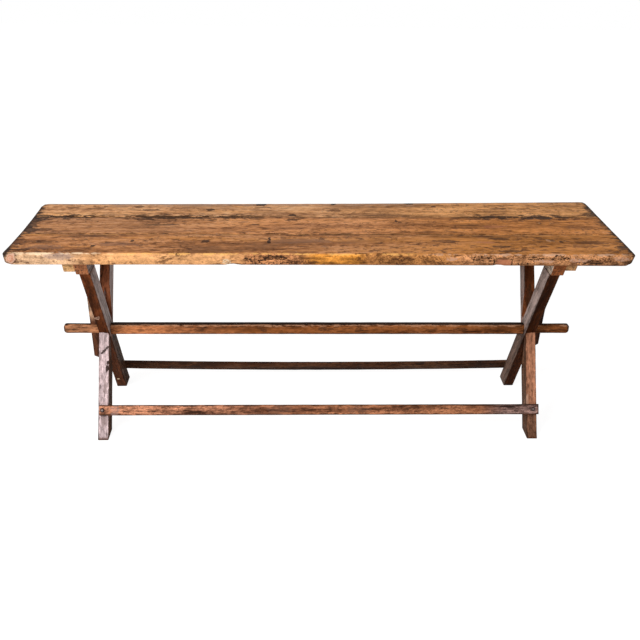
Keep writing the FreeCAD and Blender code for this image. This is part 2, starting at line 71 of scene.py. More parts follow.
Colour = tuple[float, float, float]
Point = tuple[float, float, float]
Span = tuple[float, float]
Piece = bpy.types.Object
Socket = bpy.types.NodeSocket
Source = Union[Socket, float, Point, Colour, Vector]

ALONG_TABLE = Vector((1.0, 0.0, 0.0))
ACROSS_TABLE = Vector((0.0, 1.0, 0.0))
UPRIGHT = Vector((0.0, 0.0, 1.0))
EVERYWHERE = (-9.0, 9.0)
LEG_LEAN = math.radians(30.6)
SMOOTH_ANGLE = math.radians(38.0)
SEAM = 0.00001
OPAQUE = 1.0
WHITE = (1.0, 1.0, 1.0)
UNIT = (1.0, 1.0, 1.0)
MIDDLE_TONE = 0.5
MIDDLE = (MIDDLE_TONE, MIDDLE_TONE, MIDDLE_TONE)


class Way(Enum):
    """Which way a frame of the base leans: its feet stand at the front or at the rear."""

    FRONT = 1
    REAR = -1

    def leg_line(self) -> Vector:
        """Return the direction from foot to head of a leg in this frame."""
        return Vector((0.0, self.value * math.sin(LEG_LEAN), math.cos(LEG_LEAN)))

    def word(self) -> str:
        """Return the word that the names in this frame start with."""
        return self.name.lower()

    def front(self) -> Vector:
        """Return the outward direction of the leg face that looks to the front."""
        return self.foot_face() * self.value

    def foot_face(self) -> Vector:
        """Return the outward direction of the leg face that carries the foot rail."""
        return Vector((0.0, -self.value * math.cos(LEG_LEAN), math.sin(LEG_LEAN)))


class NodePen:
    """Draws the node tree of a material or of the world, a call for each node."""

    def __init__(self, owner: Union[bpy.types.Material, bpy.types.World]) -> None:
        """Take a new material or world and empty its tree.

        Args:
            owner: What is drawn.
        """
        owner.use_nodes = True
        self.tree = owner.node_tree
        self.tree.nodes.clear()
        self.ending = "OutputWorld" if isinstance(owner, bpy.types.World) else "OutputMaterial"

    def add(
        self, kind: str, *sources: Source, named: Optional[dict[str, Source]] = None, **settings: object
    ) -> bpy.types.Node:
        """Add a node, and link or set its open inputs.

        Args:
            kind: The node's type.
            sources: What goes into it, in order.
            named: What goes into it by name.
            settings: Properties to set on it.

        Returns:
            The new node.
        """
        node = self.tree.nodes.new(f"ShaderNode{kind}")
        for name, setting in settings.items():
            setattr(node, name, setting)
        feeds = [*zip([socket for socket in node.inputs if socket.enabled], sources)]
        feeds += [(node.inputs[name], source) for name, source in (named or {}).items()]
        for socket, source in feeds:
            if isinstance(source, Socket):
                self.tree.links.new(source, socket)
            else:
                socket.default_value = (*source, OPAQUE) if socket.type == "RGBA" else source
        return node

    def result(self, kind: str, *sources: Source, **settings: object) -> Socket:
        """Add a node as add does, and return its first open output."""
        node = self.add(kind, *sources, **settings)
        return next(socket for socket in node.outputs if socket.enabled)

    def math(self, operation: str, *sources: Source) -> Socket:
        """Do one sum on numbers, in the order given."""
        return self.result("Math", *sources, operation=operation)

    def vector(self, operation: str, *sources: Source) -> Socket:
        """Do one sum on vectors, in the order given."""
        return self.result("VectorMath", *sources, operation=operation)

    def times(self, *sources: Source) -> Socket:
        """Multiply numbers."""
        return reduce(partial(self.math, "MULTIPLY"), sources)

    def framed(self, place: Source, centre: Source, turn: Matrix, size: Point = UNIT) -> Socket:
        """Read a place in a frame with its own centre, directions and unit lengths."""
        return self.result("Mapping", place, centre, turn.to_euler(), size, vector_type="TEXTURE")

    def noise(
        self, place: Source, pitch: Point, layers: float, roughness: float = 0.55, colour: bool = False
    ) -> Socket:
        """Draw noise that is stretched by its own pitch in each direction.

        Args:
            place: Where it is read.
            pitch: How many patches there are to the metre, in each direction.
            layers: How many finer layers are added.
            roughness: How strong the finer layers are.
            colour: Whether three separate values are wanted.

        Returns:
            The noise, about a half.
        """
        stretched = self.vector("MULTIPLY", place, pitch)
        inputs = {"Vector": stretched, "Scale": 1.0, "Detail": layers, "Roughness": roughness}
        return self.add("TexNoise", named=inputs).outputs["Color" if colour else "Fac"]

    def wander(self, place: Source, pitch: Point, layers: float) -> Socket:
        """Draw noise that sways about nothing in every direction."""
        return self.vector("SUBTRACT", self.noise(place, pitch, layers, colour=True), MIDDLE)

    def band(self, value: Source, start: float, end: float) -> Socket:
        """Rise smoothly from 0 at the start to 1 at the end, which may lie below the start."""
        return self.result("MapRange", value, start, end, interpolation_type="SMOOTHSTEP")

    def mix(self, share: Source, below: Source, above: Source) -> Socket:
        """Lay a share of one colour over another."""
        return self.result("Mix", share, below, above, data_type="RGBA")

    def ramp(self, share: Source, colours: tuple[Colour, ...]) -> Socket:
        """Run through evenly spaced colours.

        Args:
            share: Where in the run, from 0 to 1.
            colours: The colours in order.

        Returns:
            The colour there.
        """
        node = self.add("ValToRGB", share)
        stops = node.color_ramp.elements
        while len(stops) < len(colours):
            stops.new(OPAQUE)
        for index, colour in enumerate(colours):
            stops[index].position = index / (len(colours) - 1)
            stops[index].color = (*colour, OPAQUE)
        return node.outputs["Color"]

    def surface(self, shader: Socket) -> None:
        """End the tree in a shader."""
        self.add(self.ending, shader)

    def solid(self, height: Source, depth: float, strength: float, looks: dict[str, Source]) -> None:
        """End the tree in a solid surface with some relief.

        Args:
            height: The relief's pattern.
            depth: How deep it is.
            strength: How much of it shows.
            looks: The shader's own inputs, by name.
        """
        relief = {"Height": height, "Distance": depth, "Strength": strength}
        normal = self.add("Bump", named=relief).outputs["Normal"]
        self.surface(self.add("BsdfPrincipled", named={**looks, "Normal": normal}).outputs["BSDF"])


class StainColour(Enum):
    """What has marked the wood, and the painted shade inside a small hole."""

    SOOT = (0.022, 0.01, 0.006)
    KNOT = (0.075, 0.028, 0.012)
    RED = (0.43, 0.16, 0.08)
    PALE = (0.7, 0.52, 0.34)
    BLOOM = (0.24, 0.17, 0.16)
    SMOKE = (0.17, 0.085, 0.055)
    PINK = (0.56, 0.33, 0.23)
    # Painted shade for the inside of a hole that is not cut
    HOLE = (0.004, 0.003, 0.003)


SOOT, KNOT, RED, PALE, BLOOM, SMOKE, PINK, HOLE = StainColour
Mark = tuple[Union[float, StainColour], ...]

MILLIMETRES = 1000.0
TOP_HEIGHT, TOP_MARK_DEPTH = 0.76, 0.02
FRONT_EDGE, EDGE_MARK_DEPTH = -0.292, 0.03


def in_metres(marks: tuple[Mark, ...]) -> Iterator[Mark]:
    """Turn the first four numbers of each row from millimetres into metres."""
    return ((*(size / MILLIMETRES for size in mark[:4]), *mark[4:]) for mark in marks)


@dataclass(frozen=True)
class Stain:
    """A mark on the wood: its middle, how far it reaches, how strong it is, and how broken up."""

    place: Point
    reach: Point
    colour: StainColour = SOOT
    strength: float = 0.85
    broken: float = 0.0

    @classmethod
    def on_top(cls, *marks: Mark) -> tuple["Stain", ...]:
        """Mark the top by rows of X, Y, length and width in millimetres, then the looks."""
        return tuple(
            cls((x, y, TOP_HEIGHT), (length, width, TOP_MARK_DEPTH), *looks)
            for x, y, length, width, *looks in in_metres(marks)
        )

    @classmethod
    def on_edge(cls, *marks: Mark) -> tuple["Stain", ...]:
        """Mark the front edge by rows of X, Z, length and height in millimetres, then the looks."""
        return tuple(
            cls((x, FRONT_EDGE, z), (length, EDGE_MARK_DEPTH, height), *looks)
            for x, z, length, height, *looks in in_metres(marks)
        )


@dataclass(frozen=True)
class Side:
    """A flat side of a solid: the direction it faces and how far out it lies."""

    facing: Vector
    offset: float

    @classmethod
    def of(cls, node: str, facing: Vector) -> "Side":
        """Find the side of a solid that faces one way."""
        return cls(facing, max(vertex.co.dot(facing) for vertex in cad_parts[node].data.vertices))

    def depth(self, place: Vector) -> float:
        """Return how deep a place lies under this side."""
        return self.offset - place.dot(self.facing)


@dataclass(frozen=True)
class EdgeBand:
    """A ragged band of colour along the edge where some sides meet, between two places on X."""

    sides: tuple[Side, ...]
    reach: float
    colour: Colour
    strength: float
    span: Span = EVERYWHERE
    fray: float = 0.9


@dataclass(frozen=True)
class FaceTint:
    """A colour with black grit laid on one face, between two places along its grain: the face's own colour,
    or on some faces painted sheen.
    """

    facing: Vector
    colour: Colour
    strength: float
    span: Span = EVERYWHERE
    fade: float = 0.02
    grit: float = 0.0
    contrast: float = 1.3


@dataclass(frozen=True)
class WoodFinish:
    """How one kind of old wood looks."""

    pale: Colour
    body: Colour
    deep: Colour
    warm: Colour
    dull: Colour
    arris: Colour
    grime: Colour = (0.02, 0.01, 0.006)
    fineness: float = 1.0
    ring_spacing: float = 0.007
    ring_share: float = 0.12
    streak_share: float = 0.42
    fibre_share: float = 0.5
    band_share: float = 0.34
    blotch_share: float = 0.42
    dash_share: float = 0.8
    speck_share: float = 0.6
    arris_share: float = 0.25
    gloss: float = 0.08
    smooth_roughness: float = 0.5
    rough_roughness: float = 0.72
    relief: float = 0.001


@dataclass
class Grain:
    """A piece's own frame, its half sizes in it, and how far its patterns are shifted."""

    node: str
    line: Vector
    face: Vector = field(default_factory=lambda: UPRIGHT.copy())
    shift: float = 0.0
    turn: Matrix = field(init=False)
    centre: Vector = field(init=False)
    half: Vector = field(init=False)

    def __post_init__(self) -> None:
        """Work the frame out from the solid."""
        line = self.line.normalized()
        side = self.face.cross(line).normalized()
        self.turn = Matrix((line, side, line.cross(side))).transposed()
        points = [self.turn.transposed() @ vertex.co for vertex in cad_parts[self.node].data.vertices]
        low = Vector(min(point[axis] for point in points) for axis in range(3))
        high = Vector(max(point[axis] for point in points) for axis in range(3))
        self.centre = self.turn @ ((low + high) / 2)
        self.half = (high - low) / 2


@dataclass(frozen=True)
class Weave:
    """A pattern of noise along the grain, and the two levels between which it rises from 0 to 1.

    Its pitch is in patches to the metre. It may bend with the fibres, and may be as fine as its wood.
    """

    along: float
    across: float
    layers: float
    roughness: float
    rise: Span
    bent: bool = False
    fine: bool = False


WEAVES = {
    "streaks": Weave(3.2, 52.0, 6.0, 0.65, (0.3, 0.7), bent=True, fine=True),
    "fibres": Weave(34.0, 125.0, 5.0, 0.7, (0.32, 0.68), bent=True, fine=True),
    "bands": Weave(0.8, 24.0, 3.0, 0.6, (0.32, 0.68), bent=True),
    "blotches": Weave(3.4, 10.0, 5.0, 0.62, (0.3, 0.7)),
    "flecks": Weave(25.0, 110.0, 4.0, 0.6, (0.54, 0.62), bent=True, fine=True),
    "drifts": Weave(4.0, 14.0, 4.0, 0.65, (0.4, 0.56)),
    "pits": Weave(55.0, 95.0, 3.0, 0.7, (0.54, 0.62), fine=True),
    "showers": Weave(4.5, 13.0, 3.0, 0.65, (0.42, 0.58)),
    "mottle": Weave(26.0, 90.0, 5.0, 0.7, (0.32, 0.68), bent=True, fine=True),
    "grit": Weave(150.0, 240.0, 3.0, 0.75, (0.3, 0.7)),
}

# Each bend of the fibres: its pitch, and how far it sways
BENDS = (
    ((0.9, 4.0, 4.0), (0.0, 0.05, 0.05)),
    ((5.0, 30.0, 30.0), (0.0, 0.008, 0.008)),
)
BEND_LAYERS = 2.0
RING_TURN = 2.0 * math.pi / 20.0
HEART_OFFSET = Vector((0.0, 0.045, -0.075))
HEART_TURN = Matrix.Rotation(0.03, 3, "Y") @ Matrix.Rotation(0.014, 3, "Z")
WARM_RISE, WARM_SHARE = (0.5, 0.95), 0.55
DULL_RISE, DULL_SHARE = (0.45, 0.05), 0.6
ARRIS_RISE, ARRIS_FRAY = (0.009, 0.003), 0.006
FACE_RISE, LEAST_TONE = (0.45, 0.85), 0.12
GRIT_RISE, GAP_RISE = (0.56, 0.78), (0.62, 0.38)
EDGE_CORE, EDGE_FADE, EDGE_SWING = 0.35, 0.08, (-2.0, 1.0)
STAIN_PITCH, STAIN_LAYERS, STAIN_SHIFT = (55.0, 75.0, 75.0), 3.0, 1.3
STAIN_RIM, STAIN_RISE, STAIN_FRAY = (0.0, 0.12), (0.12, 0.3), 0.45
RELIEF_STRENGTH = 0.8


@dataclass
class WoodCoat:
    """The wood of one piece: a finish laid along its grain, with its own marks."""

    finish: WoodFinish
    grain: Grain
    stains: tuple[Stain, ...] = ()
    edges: tuple[EdgeBand, ...] = ()
    tints: tuple[FaceTint, ...] = ()
    pen: NodePen = field(init=False)
    place: Socket = field(init=False)
    normal: Socket = field(init=False)
    spot: Socket = field(init=False)
    shares: dict[str, Socket] = field(init=False)
    tone: Source = field(init=False)
    colour: Socket = field(init=False)

    def build(self) -> bpy.types.Material:
        """Draw the material.

        Returns:
            The new material.
        """
        material = bpy.data.materials.new(f"{self.grain.node}_wood")
        self.pen = pen = NodePen(material)
        self.draw_patterns()
        self.add_up()
        finish, shares = self.finish, self.shares
        self.colour = pen.ramp(self.tone, (finish.deep, finish.body, finish.pale))
        self.lay(finish.warm, pen.band(shares["bands"], *WARM_RISE), WARM_SHARE)
        self.lay(finish.dull, pen.band(shares["blotches"], *DULL_RISE), DULL_SHARE)
        self.lay_tints()
        self.lay_arris()
        self.lay(finish.grime, shares["dashes"], finish.dash_share)
        self.lay(finish.grime, shares["specks"], finish.speck_share)
        self.lay_edges()
        self.lay_stains()
        self.cover()
        return material

    def lay(self, above: Source, *shares: Source) -> None:
        """Lay a colour over the wood, as far as the product of some shares."""
        self.colour = self.pen.mix(self.pen.times(*shares), self.colour, above)

    def draw_patterns(self) -> None:
        """Draw every pattern along the piece's grain."""
        pen = self.pen
        coordinates = pen.add("TexCoord").outputs
        self.place, self.normal = coordinates["Object"], coordinates["Normal"]
        self.spot = pen.framed(self.place, self.grain.centre, self.grain.turn)
        still = pen.vector("ADD", self.spot, (self.grain.shift,) * 3)
        bends = [(pen.wander(still, pitch, BEND_LAYERS), sway) for pitch, sway in BENDS]
        bend = pen.vector("ADD", *(pen.vector("MULTIPLY", wander, sway) for wander, sway in bends))
        bent = pen.vector("ADD", still, bend)
        self.shares = {}
        for name, weave in WEAVES.items():
            across = weave.across * (self.finish.fineness if weave.fine else 1.0)
            pitch = (weave.along, across, across)
            pattern = pen.noise(bent if weave.bent else still, pitch, weave.layers, weave.roughness)
            self.shares[name] = pen.band(pattern, *weave.rise)
        heart = pen.framed(pen.vector("ADD", self.spot, bend), HEART_OFFSET, HEART_TURN)
        rings = {"Vector": heart, "Scale": RING_TURN / self.finish.ring_spacing}
        wave = pen.add("TexWave", named=rings, wave_type="RINGS", rings_direction="X")
        self.shares["rings"] = wave.outputs["Fac"]
        self.shares["dashes"] = pen.times(self.shares["flecks"], self.shares["drifts"])
        self.shares["specks"] = pen.times(self.shares["pits"], self.shares["showers"])

    def add_up(self) -> None:
        """Add the patterns up to a tone of about a half."""
        finish = self.finish
        parts = {
            "rings": finish.ring_share, "streaks": finish.streak_share, "fibres": finish.fibre_share,
            "bands": finish.band_share, "blotches": finish.blotch_share,
        }
        self.tone = MIDDLE_TONE - sum(parts.values()) / 2.0
        for name, share in parts.items():
            self.tone = self.pen.math("MULTIPLY_ADD", self.shares[name], share, self.tone)

    def within(self, along: Socket, span: Span, fade: float) -> Socket:
        """Rise to 1 between the two ends of a span along a line, fading at both."""
        ends = zip(span, (fade, -fade))
        return self.pen.times(*(self.pen.band(along, end - soft, end + soft) for end, soft in ends))

    def lay_tints(self) -> None:
        """Lay on the colours and the grit of single faces, some of them painted sheen or painted reflection.
        """
        pen = self.pen
        along = pen.add("SeparateXYZ", self.spot).outputs["X"]
        for tint in self.tints:
            tone = pen.math("MULTIPLY_ADD", self.tone, tint.contrast, 1.0 - tint.contrast / 2.0)
            tinted = pen.vector("SCALE", tint.colour, pen.math("MAXIMUM", tone, LEAST_TONE))
            facing = pen.band(pen.vector("DOT_PRODUCT", self.normal, tint.facing), *FACE_RISE)
            on_face = pen.times(facing, self.within(along, tint.span, tint.fade))
            self.lay(tinted, on_face, tint.strength)
            if tint.grit:
                specks = pen.times(pen.band(self.shares["grit"], *GRIT_RISE), tint.grit)
                self.lay(self.finish.grime, on_face, specks)

    def lay_arris(self) -> None:
        """Lay on the wear along the edges where two faces meet."""
        pen = self.pen
        depth = pen.vector("SUBTRACT", self.grain.half, pen.vector("ABSOLUTE", self.spot))
        first, second, third = pen.add("SeparateXYZ", depth).outputs
        least, most, whole = (
            pen.math(operation, first, pen.math(operation, second, third))
            for operation in ("MINIMUM", "MAXIMUM", "ADD")
        )
        to_edge = pen.math("SUBTRACT", whole, pen.math("ADD", least, most))
        frayed = pen.math("MULTIPLY_ADD", self.shares["fibres"], ARRIS_FRAY, to_edge)
        self.lay(self.finish.arris, pen.band(frayed, *ARRIS_RISE), self.finish.arris_share)

    def lay_edges(self) -> None:
        """Lay on the ragged bands along the piece's edges."""
        pen = self.pen
        along = pen.add("SeparateXYZ", self.place).outputs["X"]
        ragged = pen.math("MULTIPLY_ADD", self.shares["mottle"], *EDGE_SWING)
        for edge in self.edges:
            depth: Source = 0.0
            for side in edge.sides:
                out = pen.vector("DOT_PRODUCT", self.place, side.facing)
                depth = pen.math("MAXIMUM", depth, pen.math("SUBTRACT", side.offset, out))
            frayed = pen.math("MULTIPLY_ADD", ragged, edge.reach * edge.fray, depth)
            near = pen.band(frayed, edge.reach, edge.reach * EDGE_CORE)
            self.lay(edge.colour, near, self.within(along, edge.span, EDGE_FADE), edge.strength)

    def lay_stains(self) -> None:
        """Lay on the piece's own marks."""
        pen = self.pen
        ragged = pen.math("SUBTRACT", self.shares["mottle"], MIDDLE_TONE)
        shift = pen.vector("SCALE", pen.wander(self.spot, STAIN_PITCH, STAIN_LAYERS), STAIN_SHIFT)
        gaps = pen.band(self.shares["grit"], *GAP_RISE)
        for stain in self.stains:
            drilled = stain.colour is HOLE
            spot = pen.framed(self.place, stain.place, self.grain.turn, stain.reach)
            spot = spot if drilled else pen.vector("ADD", spot, shift)
            ball = pen.add("TexGradient", spot, gradient_type="SPHERICAL").outputs["Fac"]
            frayed = pen.math("MULTIPLY_ADD", ragged, 0.0 if drilled else STAIN_FRAY, ball)
            share = pen.times(pen.band(ball, *STAIN_RIM), pen.band(frayed, *STAIN_RISE))
            whole = pen.math("MULTIPLY_ADD", gaps, -stain.broken, 1.0)
            self.lay(stain.colour.value, share, whole, stain.strength)

    def cover(self) -> None:
        """Give the wood its gloss and its relief."""
        pen, finish, shares = self.pen, self.finish, self.shares
        polish = finish.smooth_roughness - finish.rough_roughness
        roughness = pen.math("MULTIPLY_ADD", self.tone, polish, finish.rough_roughness)
        looks = {"Base Color": self.colour, "Roughness": roughness, "Specular IOR Level": finish.gloss}
        raised = pen.math("ADD", shares["streaks"], shares["fibres"])
        height = pen.math("SUBTRACT", raised, shares["dashes"])
        pen.solid(height, finish.relief, RELIEF_STRENGTH, looks)


# Each finish starts with its colours: pale, body, deep, warm, dull and arris
FRONT_PLANK = WoodFinish(
    (0.64, 0.3, 0.132), (0.398, 0.162, 0.058), (0.115, 0.04, 0.014),
    (0.52, 0.207, 0.048), (0.2, 0.089, 0.04), (0.4, 0.18, 0.07),
    grime=(0.07, 0.025, 0.01), fineness=0.62, gloss=0.05,
)
MIDDLE_PLANK = WoodFinish(
    (0.75, 0.363, 0.16), (0.492, 0.203, 0.074), (0.165, 0.06, 0.022),
    (0.6, 0.235, 0.056), (0.26, 0.114, 0.05), (0.4, 0.18, 0.07),
    grime=(0.07, 0.025, 0.01), fineness=0.62, gloss=0.05, dash_share=0.6,
)
REAR_PLANK = WoodFinish(
    (0.9, 0.53, 0.27), (0.635, 0.308, 0.137), (0.225, 0.094, 0.039),
    (0.73, 0.33, 0.103), (0.35, 0.178, 0.088), (0.46, 0.22, 0.09),
    grime=(0.085, 0.032, 0.014), fineness=0.62, gloss=0.05, dash_share=0.5,
)
BATTEN = WoodFinish(
    (0.33, 0.12, 0.046), (0.195, 0.064, 0.022), (0.08, 0.024, 0.008),
    (0.28, 0.09, 0.026), (0.1, 0.036, 0.014), (0.06, 0.022, 0.01),
)
CLEAT = WoodFinish(
    (0.66, 0.39, 0.18), (0.49, 0.265, 0.106), (0.27, 0.13, 0.05),
    (0.49, 0.26, 0.095), (0.27, 0.145, 0.066), (0.45, 0.26, 0.12),
    dash_share=0.25, speck_share=0.2,
)
POLISH = {
    "gloss": 0.01, "smooth_roughness": 0.26, "rough_roughness": 0.42,
    "arris_share": 0.5, "dash_share": 0.45, "speck_share": 0.3,
}
DARK_LEG = WoodFinish(
    (0.21, 0.06, 0.022), (0.115, 0.03, 0.009), (0.034, 0.009, 0.003),
    (0.18, 0.048, 0.012), (0.04, 0.013, 0.005), (0.03, 0.012, 0.006), **POLISH,
)
BROWN_LEG = WoodFinish(
    (0.3, 0.105, 0.045), (0.18, 0.054, 0.019), (0.07, 0.019, 0.007),
    (0.25, 0.078, 0.022), (0.09, 0.031, 0.013), (0.06, 0.024, 0.012), **POLISH,
)
BLACK_LEG = WoodFinish(
    (0.09, 0.026, 0.009), (0.042, 0.011, 0.003), (0.014, 0.004, 0.002),
    (0.075, 0.02, 0.005), (0.022, 0.007, 0.003), (0.02, 0.008, 0.004), **POLISH,
)
RAIL = WoodFinish(
    (0.35, 0.125, 0.045), (0.15, 0.046, 0.013), (0.04, 0.011, 0.003),
    (0.24, 0.076, 0.018), (0.065, 0.021, 0.007), (0.05, 0.018, 0.007),
    arris_share=0.3, gloss=0.02, dash_share=0.45, speck_share=0.3, streak_share=0.6, fibre_share=0.65,
)
FOOT_RAIL = WoodFinish(
    (0.58, 0.26, 0.145), (0.25, 0.09, 0.043), (0.05, 0.016, 0.008),
    (0.34, 0.115, 0.046), (0.1, 0.045, 0.03), (0.06, 0.026, 0.014),
    arris_share=0.3, gloss=0.02, dash_share=0.5, speck_share=0.4,
)
DARK_RAIL = WoodFinish(
    (0.15, 0.068, 0.032), (0.05, 0.019, 0.008), (0.015, 0.005, 0.002),
    (0.07, 0.022, 0.007), (0.022, 0.01, 0.006), (0.012, 0.006, 0.004),
)
KEY = WoodFinish(
    (0.13, 0.05, 0.026), (0.062, 0.021, 0.01), (0.024, 0.008, 0.004),
    (0.09, 0.028, 0.011), (0.03, 0.011, 0.006), (0.02, 0.01, 0.007),
    arris_share=0.7,
)
PLUG = WoodFinish(
    (0.48, 0.33, 0.25), (0.36, 0.215, 0.15), (0.16, 0.08, 0.05),
    (0.38, 0.22, 0.15), (0.2, 0.11, 0.08), (0.06, 0.024, 0.014),
)
PEG = WoodFinish(
    (0.48, 0.25, 0.105), (0.3, 0.128, 0.045), (0.14, 0.052, 0.019),
    (0.38, 0.16, 0.05), (0.19, 0.088, 0.04), (0.12, 0.05, 0.02),
)


@dataclass(frozen=True)
class Trim:
    """Wood taken off one end of a piece, or added where it is below nothing, easing off inwards."""

    facing: Vector
    depth: float
    reach: float


@dataclass
class WornPiece:
    """A wooden piece that keeps its solid's form and shows its age."""

    node: str
    body: str
    slot: str
    coat: WoodCoat
    slice_pitch: float = 0.03
    worn_depth: float = 0.0012
    worn_patch: float = 0.06
    trims: tuple[Trim, ...] = ()
    piece: Piece = field(init=False)

    def build(self) -> None:
        """Copy the solid's form, shape and dress the copy, and set it on its body."""
        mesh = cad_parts[self.node].data.copy()
        self.piece = piece = bpy.data.objects.new(f"{self.node}_worn", mesh)
        bpy.context.scene.collection.objects.link(piece)
        with self.editing():
            bpy.ops.mesh.remove_doubles(threshold=SEAM)
        self.shape()
        self.pick()
        bpy.ops.object.shade_smooth_by_angle(angle=SMOOTH_ANGLE)
        piece.data.materials.clear()
        piece.data.materials.append(self.coat.build())
        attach(piece, self.body)
        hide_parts(self.node)
        log.info("%s: %d faces", piece.name, len(piece.data.polygons))

    def pick(self) -> None:
        """Make the piece the only selected and active one."""
        bpy.ops.object.select_all(action="DESELECT")
        self.piece.select_set(True)
        bpy.context.view_layer.objects.active = self.piece

    @contextmanager
    def editing(self) -> Iterator[None]:
        """Hold the piece in edit mode with all of it selected."""
        self.pick()
        bpy.ops.object.mode_set(mode="EDIT")
        bpy.ops.mesh.select_all(action="SELECT")
        yield
        bpy.ops.object.mode_set(mode="OBJECT")

    def slice_across(self, direction: Vector, pitch: float) -> None:
        """Cut new edges right across the piece at an even pitch.

        Args:
            direction: The unit direction along which the cuts follow each other.
            pitch: The distance from cut to cut.
        """
        reach = [vertex.co.dot(direction) for vertex in self.piece.data.vertices]
        first, last = min(reach), max(reach)
        count = max(1, round((last - first) / pitch))
        with self.editing():
            for step in range(1, count):
                place = direction * (first + (last - first) * step / count)
                bpy.ops.mesh.select_all(action="SELECT")
                bpy.ops.mesh.bisect(plane_co=place, plane_no=direction)

    def wear_away(self) -> None:
        """Take wood off the piece unevenly, always inwards, so that it never grows."""
        texture = bpy.data.textures.new(f"{self.piece.name}_wear", "CLOUDS")
        texture.noise_scale = self.worn_patch
        self.pick()
        bpy.ops.object.modifier_add(type="DISPLACE")
        modifier = self.piece.modifiers[-1]
        modifier.texture = texture
        modifier.texture_coords = "LOCAL"
        modifier.direction = "NORMAL"
        modifier.mid_level = 1.0
        modifier.strength = self.worn_depth
        bpy.ops.object.modifier_apply(modifier=modifier.name)

    def shape(self) -> None:
        """Give the piece its unevenness."""
        self.slice_across(self.coat.grain.line.normalized(), self.slice_pitch)
        self.wear_away()
        for trim in self.trims:
            end = Side.of(self.node, trim.facing)
            for vertex in self.piece.data.vertices:
                nearness = max(0.0, 1.0 - end.depth(vertex.co) / trim.reach)
                vertex.co -= trim.facing * trim.depth * nearness


@dataclass(frozen=True)
class Chip:
    """A piece broken out of a board's edge: its middle, half width and depth, and the way in."""

    place: Point
    half_width: float
    depth: float
    inward: Point


@dataclass
class TopBoard(WornPiece):
    """A board of the top, with frayed outer edges, a hollowed left end and chips."""

    outer_edge: Optional[Side] = None
    chips: tuple[Chip, ...] = ()
    slice_pitch: float = 0.014
    cross_pitch: float = 0.024
    worn_depth: float = 0.0006
    hollow: float = 0.008
    hollow_reach: float = 0.14
    frayed_depth: float = 0.0025
    frayed_reach: float = 0.012
    under_share: float = 0.15
    spread: float = 0.0
    coarse_patch: float = 0.11
    fine_patch: float = 0.028

    def shape(self) -> None:
        """Slice the board both ways, then wear, fray, hollow and chip it."""
        self.slice_across(ALONG_TABLE, self.slice_pitch)
        self.slice_across(ACROSS_TABLE, self.cross_pitch)
        self.wear_away()
        self.fray_edges()
        self.hollow_end()
        self.break_chips()
        self.spread_ends()

    def fray_edges(self) -> None:
        """Round the outer edges off unevenly, most on the upper ones."""
        under = Side.of(self.node, -UPRIGHT)
        sides = [under, *(Side.of(self.node, facing) for facing in (UPRIGHT, ALONG_TABLE, -ALONG_TABLE))]
        if self.outer_edge:
            sides.append(self.outer_edge)
        for vertex in self.piece.data.vertices:
            first, second = sorted(sides, key=lambda side: side.depth(vertex.co))[:2]
            nearness = 1.0 - second.depth(vertex.co) / self.frayed_reach
            if nearness > 0.0:
                coarse = 0.5 + 0.5 * noise.noise(vertex.co / self.coarse_patch)
                fine = 0.5 + 0.5 * noise.noise(vertex.co / self.fine_patch)
                share = self.under_share if under in (first, second) else 1.0
                depth = self.frayed_depth * share * nearness * (coarse + fine) / 2.0
                vertex.co -= (first.facing + second.facing).normalized() * depth

    def hollow_end(self) -> None:
        """Wear the left end hollow, most in the middle of the table."""
        left = solid_box[0].x
        front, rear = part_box("top_board_front")[0].y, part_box("top_board_rear")[1].y
        middle, half = (front + rear) / 2, (rear - front) / 2
        for vertex in self.piece.data.vertices:
            nearness = 1.0 - (vertex.co.x - left) / self.hollow_reach
            if nearness > 0.0:
                across = (vertex.co.y - middle) / half
                vertex.co.x += self.hollow * (1.0 - across * across) * nearness

    def break_chips(self) -> None:
        """Press the chips into the board's edges."""
        for chip in self.chips:
            inward = Vector(chip.inward).normalized()
            for vertex in self.piece.data.vertices:
                apart = (vertex.co - Vector(chip.place)).length / chip.half_width
                if apart < 1.0:
                    vertex.co += inward * chip.depth * (1.0 - apart * apart)

    def spread_ends(self) -> None:
        """Let the outer edge run out a little towards its two ends."""
        if not self.outer_edge:
            return
        grain = self.coat.grain
        for vertex in self.piece.data.vertices:
            outness = (vertex.co.x - grain.centre.x) / grain.half.x
            nearness = 1.0 - self.outer_edge.depth(vertex.co) / (2.0 * grain.half.y)
            vertex.co += self.outer_edge.facing * self.spread * outness * outness * max(0.0, nearness)


def rear_edge_line(node: str, margin: float = 0.05) -> Vector:
    """Find the direction of a board's rear edge.

    Args:
        node: The board's solid.
        margin: How far from an end its corners are looked for.

    Returns:
        The direction, left to right.
    """
    ends = []
    low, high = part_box(node)
    for end in (low.x, high.x):
        close = [v.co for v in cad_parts[node].data.vertices if abs(v.co.x - end) < margin]
        ends.append(max(close, key=lambda point: point.y))
    return Vector((ends[1].x - ends[0].x, ends[1].y - ends[0].y, 0.0)).normalized()


